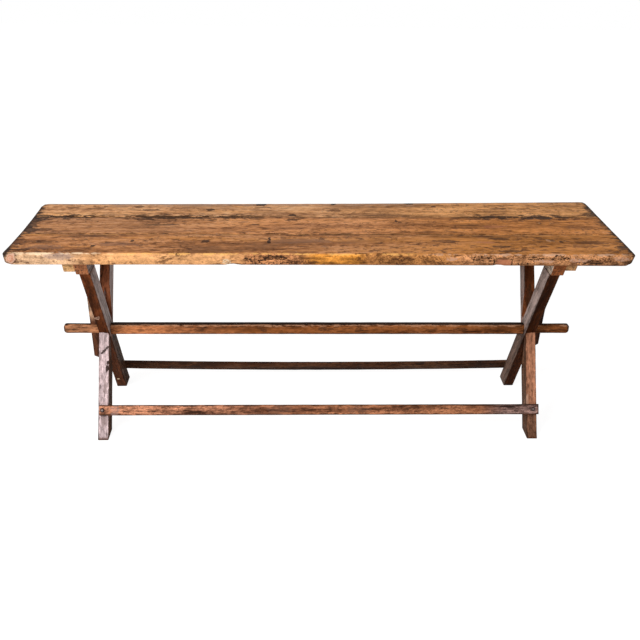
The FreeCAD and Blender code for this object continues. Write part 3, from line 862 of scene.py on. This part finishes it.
@dataclass
class TableTop:
    """The loose top: three boards on two battens and two cleats, pegged down."""

    front_stains = (
        *Stain.on_top(
            (-655, -172, 9, 12), (-781, -224, 12, 12), (-741, -191, 10, 11, KNOT),
            (-594, -154, 8, 10, KNOT, 0.7), (-401, -174, 22, 12), (-486, -260, 8, 8, KNOT),
            (-796, -125, 50, 16, KNOT, 0.6), (-730, -138, 40, 14, KNOT, 0.5),
            (-960, -185, 70, 20, SOOT, 0.45), (-950, -236, 80, 26, SMOKE, 0.65),
            (-1040, -182, 34, 40, KNOT, 0.6), (-704, -207, 110, 26, SMOKE, 0.5),
            (-1030, -262, 60, 14, SOOT, 0.7), (-181, -150, 8, 22, SOOT, 0.95),
            (-183, -178, 8, 22, SOOT, 0.95), (-70, -170, 130, 30, SMOKE, 0.55),
            (629, -143, 45, 16, SOOT, 0.7), (620, -219, 40, 16, SOOT, 0.7),
            (640, -262, 55, 12, SOOT, 0.7), (578, -178, 50, 12, RED, 0.5),
            (430, -166, 60, 18, KNOT, 0.6), (571, -115, 45, 12, KNOT, 0.6),
            (845, -168, 10, 12), (801, -157, 12, 16, PALE, 0.3), (801, -157, 6, 9, RED, 0.7),
            (949, -174, 70, 24, KNOT, 0.6), (903, -214, 50, 18, KNOT, 0.5),
            (1045, -232, 34, 30, SOOT, 0.7),
        ),
        *Stain.on_edge(
            (-290, 720, 30, 6, SOOT, 0.95, 0.5), (-322, 729, 18, 14, PALE, 0.85, 0.85),
            (-487, 753, 8, 6, SOOT, 0.9, 0.7), (617, 730, 36, 16, RED, 0.85),
            (584, 730, 4, 18, SOOT, 0.9), (645, 730, 4, 16, SOOT, 0.7), (614, 743, 36, 4, SOOT, 0.6),
        ),
        # Painted shade under the rounded front-right corner of the top.
        Stain((1.064, -0.285, 0.724), (0.014, 0.03, 0.016), SOOT, 0.9),
        *Stain.on_edge(
            (-880, 748, 60, 14, BLOOM, 0.45), (-232, 740, 40, 18, SOOT, 0.95, 0.85),
            (-170, 744, 50, 16, SOOT, 0.95, 0.85), (-190, 722, 120, 7, SOOT, 0.95, 0.85),
            (-70, 728, 60, 10, KNOT, 0.95, 0.85), (200, 736, 60, 14, KNOT, 0.35, 0.85),
            (290, 737, 40, 12, SOOT, 0.35, 0.85), (380, 729, 70, 10, KNOT, 0.6, 0.85),
            (545, 744, 50, 12, SOOT, 0.95, 0.85), (680, 726, 40, 9, SOOT, 0.95, 0.85),
            (728, 744, 45, 12, SOOT, 0.95, 0.85), (812, 746, 50, 13, SOOT, 0.95, 0.85),
            (914, 729, 50, 10, SOOT, 0.95, 0.85), (970, 740, 40, 12, KNOT, 0.95, 0.85),
            (440, 742, 34, 8, PINK, 0.75, 0.85), (760, 734, 40, 7, PINK, 0.75, 0.85),
            (870, 738, 50, 8, PINK, 0.75, 0.85), (1020, 744, 40, 10, PINK, 0.75, 0.85),
            (-1041, 740, 30, 25, KNOT, 0.55), (-1043, 741, 23, 20, PINK, 0.8),
            (-1043, 741, 14, 13, RED, 0.6), (-1044, 741, 8, 8, PINK, 0.7),
        ),
    )
    middle_stains = Stain.on_top(
        (-1040, -67, 50, 34, SOOT, 0.85), (-1044, -5, 36, 50, SOOT, 0.75),
        (-1040, 55, 45, 34, SOOT, 0.8), (-985, -60, 40, 18, KNOT, 0.75),
        (-575, -4, 85, 12, SOOT, 0.65), (-241, 2, 30, 12, KNOT), (285, 49, 8, 20),
        (297, 36, 12, 12, SOOT, 0.8), (30, -96, 60, 8, SOOT, 0.8), (80, -94, 40, 8, SOOT, 0.8),
        (-155, -94, 60, 8, KNOT, 0.8), (-99, 62, 35, 16, SOOT, 0.8), (640, -9, 55, 14, RED, 0.5),
        (960, -20, 80, 30, KNOT, 0.4),
    )
    rear_stains = Stain.on_top(
        (-416, 174, 20, 18), (-639, 166, 50, 14, SOOT, 0.7), (-692, 205, 30, 18, KNOT, 0.7),
        (-845, 184, 40, 14, KNOT, 0.7), (-936, 191, 30, 14, KNOT, 0.6), (-101, 113, 18, 18),
        (-224, 238, 26, 24, SOOT, 0.9), (-224, 205, 40, 12, KNOT, 0.6), (59, 250, 14, 18, SOOT, 0.9),
        (356, 264, 22, 20, SOOT, 0.9), (64, 175, 30, 26, KNOT, 0.6), (1040, 135, 45, 36, SOOT, 0.75),
        (1056, 185, 22, 50, SOOT, 0.6), (450, 225, 12, 12, KNOT, 0.8), (700, 205, 40, 14, KNOT, 0.6),
    )
    front_chips = (
        Chip((-0.303, -0.2915, 0.717), 0.022, 0.004, (0.0, 0.6, 0.8)),
        Chip((-0.487, -0.2915, 0.76), 0.014, 0.003, (0.0, 0.6, -0.8)),
        Chip((0.6, -0.2915, 0.717), 0.02, 0.003, (0.0, 0.6, 0.8)),
        Chip((0.87, -0.2915, 0.76), 0.018, 0.003, (0.0, 0.6, -0.8)),
        Chip((1.07, -0.2915, 0.717), 0.03, 0.01, (-0.75, 0.3, 0.6)),
        Chip((-1.07, -0.2915, 0.717), 0.03, 0.006, (0.6, 0.3, 0.75)),
    )
    rear_chips = (
        Chip((-1.07, 0.2335, 0.745), 0.034, 0.01, (0.7, -0.7, 0.0)),
        Chip((1.07, 0.2915, 0.745), 0.03, 0.008, (-0.7, -0.7, 0.0)),
    )
    joint_black: Colour = (0.034, 0.013, 0.004)
    # Each line along an edge: its reach, colour and strength, then its span and fray
    gold_line = (0.007, (0.6, 0.28, 0.09), 0.8)
    black_line = (0.006, joint_black, 0.8)
    rear_bloom = (0.045, (0.42, 0.25, 0.16), 0.6, (-0.8, 0.4), 0.6)
    rear_arris = (0.012, (0.11, 0.07, 0.055), 0.7, EVERYWHERE, 0.5)
    # The ends take soil with painted shade where they are rounded, and black lines of painted shade at their
    # arrises.
    end_soil_and_shade = (0.034, (0.045, 0.022, 0.012), 0.65)
    end_shade_lines = tuple((reach, (0.018, 0.01, 0.007), 0.95, EVERYWHERE, 0.25) for reach in (0.034, 0.022))
    joint_wear = (
        (0.012, joint_black, 0.5), (0.03, joint_black, 0.95, (-1.06, -0.8)),
        (0.03, joint_black, 0.9, (-0.74, -0.22)), (0.03, joint_black, 0.92, (0.55, 0.98)),
    )
    # Pale worn wood with painted highlights along the front board's upper front arris, in three colours.
    front_arris_wear_and_highlights = (
        (0.0055, (0.88, 0.66, 0.44), 0.6, (-1.06, -0.74)),
        (0.0055, (0.83, 0.44, 0.13), 0.6, (-0.66, 0.3)),
        (0.0055, (0.64, 0.4, 0.27), 0.6, (0.38, 1.06)),
    )
    front_spread: float = 0.004
    rear_spread: float = 0.01
    middle_shift: float = 1.7
    rear_shift: float = 3.1
    peg_worn_depth: float = 0.0003
    edge_tints = tuple(
        FaceTint(-ACROSS_TABLE, colour, 0.95, *rest)
        for colour, *rest in (
            ((0.64, 0.395, 0.228), (-1.1, -0.8), 0.08, 0.3, 1.0),
            ((0.795, 0.398, 0.167), (-0.8, -0.27), 0.08, 0.3, 0.8),
            ((0.52, 0.22, 0.088), (-0.26, -0.06), 0.02, 0.8, 2.2),
            ((0.59, 0.23, 0.036), (-0.05, 0.15), 0.04, 0.4, 1.6),
            ((0.48, 0.203, 0.061), (0.16, 0.46), 0.04, 0.75, 1.2),
            ((0.452, 0.205, 0.088), (0.46, 1.1), 0.06, 0.75, 2.2),
        )
    )
    golden_end = FaceTint(UPRIGHT, (0.4, 0.146, 0.022), 0.62, (0.35, 1.2), 0.35)
    front_tints = (golden_end, *edge_tints)
    rear_tints = (FaceTint(UPRIGHT, (0.616, 0.266, 0.077), 0.6, (0.2, 1.2), 0.35),)
    middle_tints = (
        FaceTint(UPRIGHT, (0.24, 0.12, 0.064), 0.45, (-1.2, -0.45), 0.25),
        FaceTint(UPRIGHT, (0.54, 0.232, 0.098), 0.4, (-0.32, 0.3), 0.2),
        FaceTint(UPRIGHT, (0.5, 0.178, 0.035), 0.62, (0.35, 1.2), 0.35),
    )
    batten_tints = {
        "head_batten_left": (
            # Painted sheen: the grey of this batten's inner face stands in for its reflection of the white
            # room.
            FaceTint(ALONG_TABLE, (0.23, 0.2, 0.195), 0.9),
            FaceTint(-ACROSS_TABLE, (0.33, 0.12, 0.048), 0.8),
        ),
        "head_batten_right": (
            FaceTint(-ALONG_TABLE, (0.5, 0.4, 0.31), 0.95),
            FaceTint(-ACROSS_TABLE, (0.265, 0.078, 0.021), 0.8),
        ),
        "cleat_right": (FaceTint(-ACROSS_TABLE, (0.6, 0.3, 0.125), 0.8, grit=0.4),),
        "cleat_left": (FaceTint(-ACROSS_TABLE, (0.55, 0.305, 0.13), 0.8),),
    }
    cleat_trims = {"cleat_right": (Trim(-UPRIGHT, 0.008, 0.02),)}

    def build(self) -> None:
        """Make the boards, battens, cleats and pegs."""
        self.build_boards()
        for side in ("left", "right"):
            for kind, slot, finish in (
                ("head_batten", "batten_wood", BATTEN), ("cleat", "cleat_wood", CLEAT)
            ):
                node = f"{kind}_{side}"
                coat = WoodCoat(finish, Grain(node, ACROSS_TABLE), tints=self.batten_tints[node])
                WornPiece(node, "tabletop", slot, coat, trims=self.cleat_trims.get(node, ())).build()
            for kind in ("batten", "cleat"):
                node = f"{kind}_pegs_{side}"
                coat = WoodCoat(PEG, Grain(node, UPRIGHT, ALONG_TABLE))
                WornPiece(node, "tabletop", "peg_wood", coat, worn_depth=self.peg_worn_depth).build()

    def build_boards(self) -> None:
        """Make the three boards."""
        front, middle, rear = (f"top_board_{place}" for place in ("front", "middle", "rear"))
        front_joint, rear_joint, rear_line = (rear_edge_line(node) for node in (front, middle, rear))
        front_side = Side.of(front, -ACROSS_TABLE)
        rear_side = Side.of(rear, UPRIGHT.cross(rear_line))
        front_edges = (
            EdgeBand((Side.of(front, UPRIGHT.cross(front_joint)),), *self.gold_line),
            *(EdgeBand((front_side, Side.of(front, UPRIGHT)), *arris) for arris in self.front_arris_wear_and_highlights),
        )
        middle_edges = (
            EdgeBand((Side.of(middle, -UPRIGHT.cross(front_joint)),), *self.black_line),
            *self.worn_joint(Side.of(middle, UPRIGHT.cross(rear_joint))),
        )
        rear_edges = (
            *self.worn_joint(Side.of(rear, -UPRIGHT.cross(rear_joint))),
            EdgeBand((rear_side,), *self.rear_bloom),
            EdgeBand((rear_side,), *self.rear_arris),
        )
        for grain, finish, stains, edges, tints, outer_edge, chips, spread in (
            (
                Grain(front, ALONG_TABLE), FRONT_PLANK, self.front_stains, front_edges,
                self.front_tints, front_side, self.front_chips, self.front_spread,
            ),
            (
                Grain(middle, rear_joint, shift=self.middle_shift), MIDDLE_PLANK, self.middle_stains,
                middle_edges, self.middle_tints, None, (), 0.0,
            ),
            (
                Grain(rear, rear_joint, shift=self.rear_shift), REAR_PLANK, self.rear_stains,
                rear_edges, self.rear_tints, rear_side, self.rear_chips, self.rear_spread,
            ),
        ):
            coat = WoodCoat(finish, grain, stains, (*edges, *self.dark_ends(grain.node)), tints)
            TopBoard(
                grain.node, "tabletop", "top_wood", coat, outer_edge=outer_edge, chips=chips, spread=spread
            ).build()

    def worn_joint(self, side: Side) -> tuple[EdgeBand, ...]:
        """Blacken a board along its side at the worn joint, most in a few stretches."""
        return tuple(EdgeBand((side,), *wear) for wear in self.joint_wear)

    def dark_ends(self, node: str) -> tuple[EdgeBand, ...]:
        """Darken a board's two ends with soil and painted shade on their rounded arrises.

        Args:
            node: The board.

        Returns:
            The dark bands.
        """
        sides = (Side.of(node, -ALONG_TABLE), Side.of(node, ALONG_TABLE))
        soil_and_shade_bands = [EdgeBand((side,), *self.end_soil_and_shade) for side in sides]
        above = Side.of(node, UPRIGHT)
        return *soil_and_shade_bands, *(EdgeBand((side, above), *line) for side, line in zip(sides, self.end_shade_lines))


@dataclass
class Base:
    """The folding base: crossed legs, the keyed middle rail, and the nailed foot rails."""

    # Each tint on the front or the inside of a leg: colour, strength, span along it, fade and grit
    leg_fronts = {
        "front_leg_left": (
            # Painted reflection: the pale lavender on this leg's lower front stands in for the lamp's sheen
            # on it.
            ((0.54, 0.42, 0.425), 0.95, (-1.0, 0.05), 0.02, 0.2),
            ((0.27, 0.092, 0.043), 0.9, (0.05, 1.0)),
        ),
        "front_leg_right": (
            ((0.41, 0.18, 0.102), 0.95, (-1.0, 0.05), 0.02, 0.15),
            ((0.16, 0.076, 0.044), 0.85, (-1.0, -0.3), 0.02, 0.4),
        ),
        "rear_leg_left": (
            ((0.06, 0.022, 0.01), 0.7, (-1.0, -0.1), 0.1),
            ((0.05, 0.013, 0.004), 0.75, (-0.04, 0.08), 0.08),
        ),
        "rear_leg_right": (),
    }
    # Painted sheen: the grey and grey-brown of the upper inner faces stand in for their reflection of the
    # white room.
    sheen_grey_inside: Colour = (0.465, 0.412, 0.4)
    sheen_brown_inside: Colour = (0.355, 0.272, 0.243)
    dark_inside: Colour = (0.072, 0.038, 0.022)
    dull_inside: Colour = (0.14, 0.09, 0.068)
    leg_insides = {
        "front_leg_left": (
            (sheen_grey_inside, 0.7, (0.05, 1.0), 0.05), (dark_inside, 0.85, (-1.0, 0.02), 0.05)
        ),
        "front_leg_right": (
            (sheen_brown_inside, 0.85, (0.02, 1.0), 0.05), (dark_inside, 0.85, (-1.0, 0.0), 0.05)
        ),
        "rear_leg_left": (
            (sheen_grey_inside, 0.75, (0.02, 1.0), 0.05), (dark_inside, 0.85, (-1.0, -0.02), 0.06)
        ),
        "rear_leg_right": (
            (sheen_brown_inside, 0.85, (0.02, 1.0), 0.05), (dull_inside, 0.85, (-1.0, -0.02), 0.06)
        ),
    }
    rail_tints = (
        FaceTint(-ACROSS_TABLE, (0.38, 0.138, 0.054), 0.85, (-1.0, -0.4), 0.2),
        FaceTint(-ACROSS_TABLE, (0.4, 0.175, 0.085), 0.85, (-1.0, -0.84)),
        FaceTint(UPRIGHT, (0.024, 0.013, 0.008), 0.95),
    )
    foot_tints = (
        ((0.43, 0.184, 0.104), 0.8, (-1.0, -0.25), 0.15),
        ((0.34, 0.134, 0.063), 0.7, (-0.1, 0.3), 0.15),
        ((0.235, 0.095, 0.044), 0.7, (0.3, 0.64), 0.1),
        ((0.25, 0.16, 0.142), 0.8, (0.66, 1.0), 0.06),
    )
    foot_grit: float = 0.5
    foot_contrast: float = 2.4
    key_head = FaceTint(-ACROSS_TABLE, (0.4, 0.24, 0.15), 0.9, (0.04, 1.0))
    # Each line along an edge: its reach, colour and strength, then its span and fray
    line_dark: Colour = (0.03, 0.014, 0.008)
    rail_glint = (0.006, (0.56, 0.29, 0.165), 0.55)
    rail_underline = (0.006, line_dark, 0.7, EVERYWHERE, 0.5)
    rail_left_end = (0.009, line_dark, 0.7, EVERYWHERE, 0.4)
    rail_right_end = (0.012, line_dark, 0.8, EVERYWHERE, 0.4)
    foot_outline = (0.006, line_dark, 0.75, EVERYWHERE, 0.5)
    foot_end = (0.008, line_dark, 0.7, EVERYWHERE, 0.4)
    leg_half_depth: float = 0.035
    scratch_steps = (0.0, 0.006, 0.012, 0.018, 0.023)
    rail_mark_depth: float = 0.02
    rail_mark: Span = (0.02, 0.012)
    key_worn_depth: float = 0.0008
    plug_worn_depth: float = 0.0003
    longer_key = Trim(-UPRIGHT, -0.012, 0.06)
    shorter_foot_rail = Trim(-ALONG_TABLE, 0.01, 0.06)
    rail_marks = ((-0.459, 0.03), (-0.215, 0.02), (0.02, 0.04), (0.152, 0.024), (0.55, 0.036))
    foot_marks = (
        (-0.808, (0.02, 0.016), SOOT, 0.6),
        (0.814, (0.018, 0.016), SOOT, 0.6),
        (-0.765, (0.022, 0.024), BLOOM, 0.65),
        (-0.5, (0.034, 0.012), KNOT, 0.45),
        (-0.22, (0.036, 0.016), KNOT, 0.75),
        (-0.15, (0.06, 0.02), SMOKE, 0.55),
        (0.15, (0.06, 0.018), SMOKE, 0.6),
        (0.3, (0.11, 0.013), KNOT, 0.55),
    )

    def build(self) -> None:
        """Make every piece of the base."""
        for way in Way:
            for side in ("left", "right"):
                self.build_leg(way, side)
            self.build_foot_rail(way)
        self.build_middle_rail()
        for side, tints in (("left", (self.key_head,)), ("right", ())):
            key = f"key_{side}"
            coat = WoodCoat(KEY, Grain(key, UPRIGHT, ACROSS_TABLE), tints=tints)
            WornPiece(
                key, key, "key_wood", coat, worn_depth=self.key_worn_depth, trims=(self.longer_key,)
            ).build()
        plug = WoodCoat(PLUG, Grain("leg_plug", Way.REAR.leg_line(), ALONG_TABLE))
        WornPiece("leg_plug", "rear_frame", "peg_wood", plug, worn_depth=self.plug_worn_depth).build()

    def build_leg(self, way: Way, side: str) -> None:
        """Make one leg.

        Args:
            way: The frame that the leg belongs to.
            side: The end of the table.
        """
        node = f"{way.word()}_leg_{side}"
        finishes = {"rear_leg_left": DARK_LEG, "rear_leg_right": BLACK_LEG}
        grain = Grain(node, way.leg_line(), ALONG_TABLE)
        stains = self.leg_stains(way).get(node, ())
        inside = ALONG_TABLE if side == "left" else -ALONG_TABLE
        fronts = tuple(FaceTint(way.front(), *tint) for tint in self.leg_fronts[node])
        insides = tuple(FaceTint(inside, *tint) for tint in self.leg_insides[node])
        tints = fronts + insides if node.startswith("front") else insides + fronts
        coat = WoodCoat(finishes.get(node, BROWN_LEG), grain, stains, tints=tints)
        WornPiece(node, f"{way.word()}_frame", "leg_wood", coat).build()

    def leg_stains(self, way: Way) -> dict[str, tuple[Stain, ...]]:
        """List the marks on the legs.

        Args:
            way: The frame that the leg belongs to.

        Returns:
            The stains of each leg.
        """
        mark = partial(self.leg_mark, way)
        plug_low, plug_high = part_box("leg_plug")
        return {
            "front_leg_left": (
                *(mark(-0.822 + step, -0.098 + step, 0.006, 0.006) for step in self.scratch_steps),
                mark(-0.801, -0.132, 0.01, 0.006, SOOT, 0.95),
                mark(-0.801, -0.156, 0.018, 0.008, SOOT, 0.95),
                mark(-0.808, -0.23, 0.03, 0.012, BLOOM, 0.6),
                mark(-0.812, -0.35, 0.04, 0.016, BLOOM, 0.7),
            ),
            "front_leg_right": (
                mark(0.799, -0.279, 0.034, 0.006, PINK, 0.6),
                # Painted shade: the gap of the halving's relief beside the crossing is painted dark.
                mark(0.816, 0.118, 0.06, 0.012, KNOT, 0.95, depth=0.06),
            ),
            "rear_leg_left": (
                mark(-0.821, -0.326, 0.007, 0.006, PALE, 0.9),
                # Painted shade: a small hole in the inner face is painted black, with no hole cut.
                Stain((-0.795, 0.007, 0.293), (0.013, 0.016, 0.02), HOLE, 1.0),
                Stain(tuple((plug_low + plug_high) / 2), (0.014, 0.03, 0.012), PINK, 0.6),
            ),
        }

    def leg_mark(
        self, way: Way, across: float, along: float, length: float, width: float,
        *looks: Union[float, StainColour], depth: float = 0.03
    ) -> Stain:
        """Mark the front of a leg.

        Args:
            way: The frame that the leg belongs to.
            across: The place on X.
            along: How far the place is above the crossing, along the leg.
            length: How far the mark reaches along the leg.
            width: How far it reaches on X.
            looks: Its colour and strength.
            depth: How deep it goes.

        Returns:
            The stain.
        """
        rail_low, rail_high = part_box("middle_rail")
        crossing = (rail_low + rail_high) / 2
        crossing.x = across
        place = crossing + way.leg_line() * along + way.front() * self.leg_half_depth
        return Stain(tuple(place), (length, depth, width), *looks)

    def build_middle_rail(self) -> None:
        """Make the keyed rail at the crossing, redder at its left end."""
        node = "middle_rail"
        front = Side.of(node, -ACROSS_TABLE)
        edges = (
            EdgeBand((front, Side.of(node, UPRIGHT)), *self.rail_glint),
            EdgeBand((front, Side.of(node, -UPRIGHT)), *self.rail_underline),
            EdgeBand((Side.of(node, -ALONG_TABLE),), *self.rail_left_end),
            EdgeBand((Side.of(node, ALONG_TABLE),), *self.rail_right_end),
        )
        grain = Grain(node, ALONG_TABLE)
        stains = tuple(
            Stain((along, -front.offset, grain.centre.z), (length, *self.rail_mark), KNOT, 0.9, 0.7)
            for along, length in self.rail_marks
        )
        WornPiece(node, node, "rail_wood", WoodCoat(RAIL, grain, stains, edges, self.rail_tints)).build()

    def build_foot_rail(self, way: Way) -> None:
        """Make one foot rail.

        Args:
            way: The frame that the rail belongs to.
        """
        node, body = f"{way.word()}_foot_rail", f"{way.word()}_frame"
        grain = Grain(node, ALONG_TABLE, way.foot_face())
        if way is Way.REAR:
            WornPiece(node, body, "rail_wood", WoodCoat(DARK_RAIL, grain)).build()
            return
        face = way.foot_face()
        tints = tuple(FaceTint(face, *tint, self.foot_grit, self.foot_contrast) for tint in self.foot_tints)
        across = face.cross(ALONG_TABLE)
        front = Side.of(node, face)
        edges = (
            EdgeBand((front, Side.of(node, across)), *self.foot_outline),
            EdgeBand((front, Side.of(node, -across)), *self.foot_outline),
            EdgeBand((Side.of(node, ALONG_TABLE),), *self.foot_end),
        )
        surface = grain.centre + face * grain.half.z
        stains = tuple(
            Stain((along, surface.y, surface.z), (*reach, self.rail_mark_depth), colour, strength, 0.7)
            for along, reach, colour, strength in self.foot_marks
        )
        coat = WoodCoat(FOOT_RAIL, grain, stains, edges, tints)
        WornPiece(node, body, "rail_wood", coat, trims=(self.shorter_foot_rail,)).build()


@dataclass
class ForgedIron:
    """Dark, pitted iron for the nails, with a painted highlight on the crowns of their heads."""

    dark: Colour = (0.018, 0.007, 0.005)
    rusty: Colour = (0.06, 0.026, 0.018)
    # The pale colour of the painted highlight on the crowns
    crown_highlight: Colour = (0.125, 0.09, 0.082)
    metal: float = 0.3
    pit_pitch: Point = (260.0, 260.0, 260.0)
    pit_depth: float = 0.001
    pit_layers: Span = (4.0, 0.6)
    pit_roughness: Span = (0.35, 0.35)
    rust_pitch: Point = (90.0, 90.0, 90.0)
    rust_layers: float = 3.0
    rust_rise: Span = (0.42, 0.62)
    crown_rise: Span = (0.9, 0.98)

    def build(self) -> bpy.types.Material:
        """Draw the material.

        Returns:
            The new material.
        """
        material = bpy.data.materials.new("forged_iron")
        pen = NodePen(material)
        coordinates = pen.add("TexCoord").outputs
        # The crowns of the heads, facing out from the rails, take the painted highlight.
        facings = [pen.vector("DOT_PRODUCT", coordinates["Normal"], way.foot_face()) for way in Way]
        crown = pen.band(pen.math("MAXIMUM", *facings), *self.crown_rise)
        pits = pen.noise(coordinates["Object"], self.pit_pitch, *self.pit_layers)
        rust = pen.band(pen.noise(coordinates["Object"], self.rust_pitch, self.rust_layers), *self.rust_rise)
        colour = pen.mix(crown, pen.mix(rust, self.dark, self.rusty), self.crown_highlight)
        roughness = pen.math("MULTIPLY_ADD", pits, *self.pit_roughness)
        looks = {"Base Color": colour, "Roughness": roughness, "Metallic": self.metal}
        pen.solid(pits, self.pit_depth, 1.0, looks)
        return material


@dataclass
class Studio:
    """A white room with one large soft lamp, and the photograph's camera."""

    frame_pixels: float = 640.0
    focal_pixels: float = 869.34
    axis_row: float = 359.99
    sensor_width: float = 36.0
    camera_place: Point = (-0.1032, -3.0443, 1.8067)
    camera_yaw: float = math.radians(-2.0854)
    camera_pitch: float = math.radians(27.7865)
    camera_roll: float = math.radians(0.9155)
    floor_size: float = 24.0
    floor_colour: Colour = (0.86, 0.86, 0.86)
    floor_glow: float = 0.74
    floor_white: float = 1.235
    fill_strength: float = 0.42
    key_place: Point = (-2.3, -3.0, 2.9)
    key_target: Point = (0.0, 0.0, 0.45)
    key_size: float = 1.8
    key_power: float = 190.0

    def build(self) -> None:
        """Set up the floor, the light and the camera."""
        bpy.context.scene.view_settings.view_transform = "Standard"
        self.lay_floor()
        self.light_room()
        self.hang_lamp()
        self.set_camera()

    def white_to_the_eye(self, pen: NodePen, *rays: str) -> Socket:
        """Pick out the rays that should see plain white, not the ones that carry light."""
        path = pen.add("LightPath").outputs
        return reduce(partial(pen.math, "MAXIMUM"), [path[f"Is {ray} Ray"] for ray in rays])

    def lay_floor(self) -> None:
        """Lay a pale floor that keeps the table's shadow."""
        bpy.ops.object.select_all(action="DESELECT")
        bpy.ops.mesh.primitive_plane_add(size=self.floor_size)
        floor = bpy.context.active_object
        floor.name = "studio_floor"
        material = bpy.data.materials.new("pale_floor")
        pen = NodePen(material)
        matt = pen.result("BsdfDiffuse", self.floor_colour)
        glow = pen.result("Emission", WHITE, self.floor_white)
        seen = pen.times(self.white_to_the_eye(pen, "Camera", "Transmission"), self.floor_glow)
        pen.surface(pen.result("MixShader", seen, matt, glow))
        floor.data.materials.append(material)

    def light_room(self) -> None:
        """Fill the room with soft white light."""
        world = bpy.data.worlds.new("white_room")
        bpy.context.scene.world = world
        pen = NodePen(world)
        fill = pen.result("Background", WHITE, self.fill_strength)
        seen = pen.result("Background", WHITE)
        to_eye = self.white_to_the_eye(pen, "Camera", "Transmission", "Glossy")
        pen.surface(pen.result("MixShader", to_eye, fill, seen))

    def hang_lamp(self) -> None:
        """Hang the lamp in front of the table, up on the left."""
        lamp = bpy.data.lights.new("key_lamp", "AREA")
        lamp.size = self.key_size
        lamp.energy = self.key_power
        holder = bpy.data.objects.new("key_lamp", lamp)
        holder.location = self.key_place
        aim = Vector(self.key_target) - Vector(self.key_place)
        holder.rotation_euler = aim.to_track_quat("-Z", "Y").to_euler()
        bpy.context.scene.collection.objects.link(holder)

    def set_camera(self) -> None:
        """Stand the camera where the photograph was taken."""
        lens = bpy.data.cameras.new("photo_camera")
        lens.sensor_width = self.sensor_width
        lens.lens = self.focal_pixels / self.frame_pixels * self.sensor_width
        lens.shift_y = (self.axis_row - self.frame_pixels / 2.0) / self.frame_pixels
        holder = bpy.data.objects.new("photo_camera", lens)
        stand = Matrix.Translation(self.camera_place)
        upward = math.pi / 2.0 - self.camera_pitch
        for angle, axis in ((self.camera_yaw, "Z"), (upward, "X"), (self.camera_roll, "Z")):
            stand = stand @ Matrix.Rotation(angle, 4, axis)
        holder.matrix_world = stand
        bpy.context.scene.collection.objects.link(holder)
        bpy.context.scene.camera = holder


def main() -> None:
    """Build the table piece by piece, then the studio round it."""
    logging.basicConfig(level=logging.INFO, format="%(message)s")
    TableTop().build()
    Base().build()
    iron = ForgedIron().build()
    for node in ("front_rail_nails", "rear_rail_nails"):
        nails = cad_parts[node]
        nails.data.materials.clear()
        nails.data.materials.append(iron)
    Studio().build()


if __name__ == "__main__":
    main()
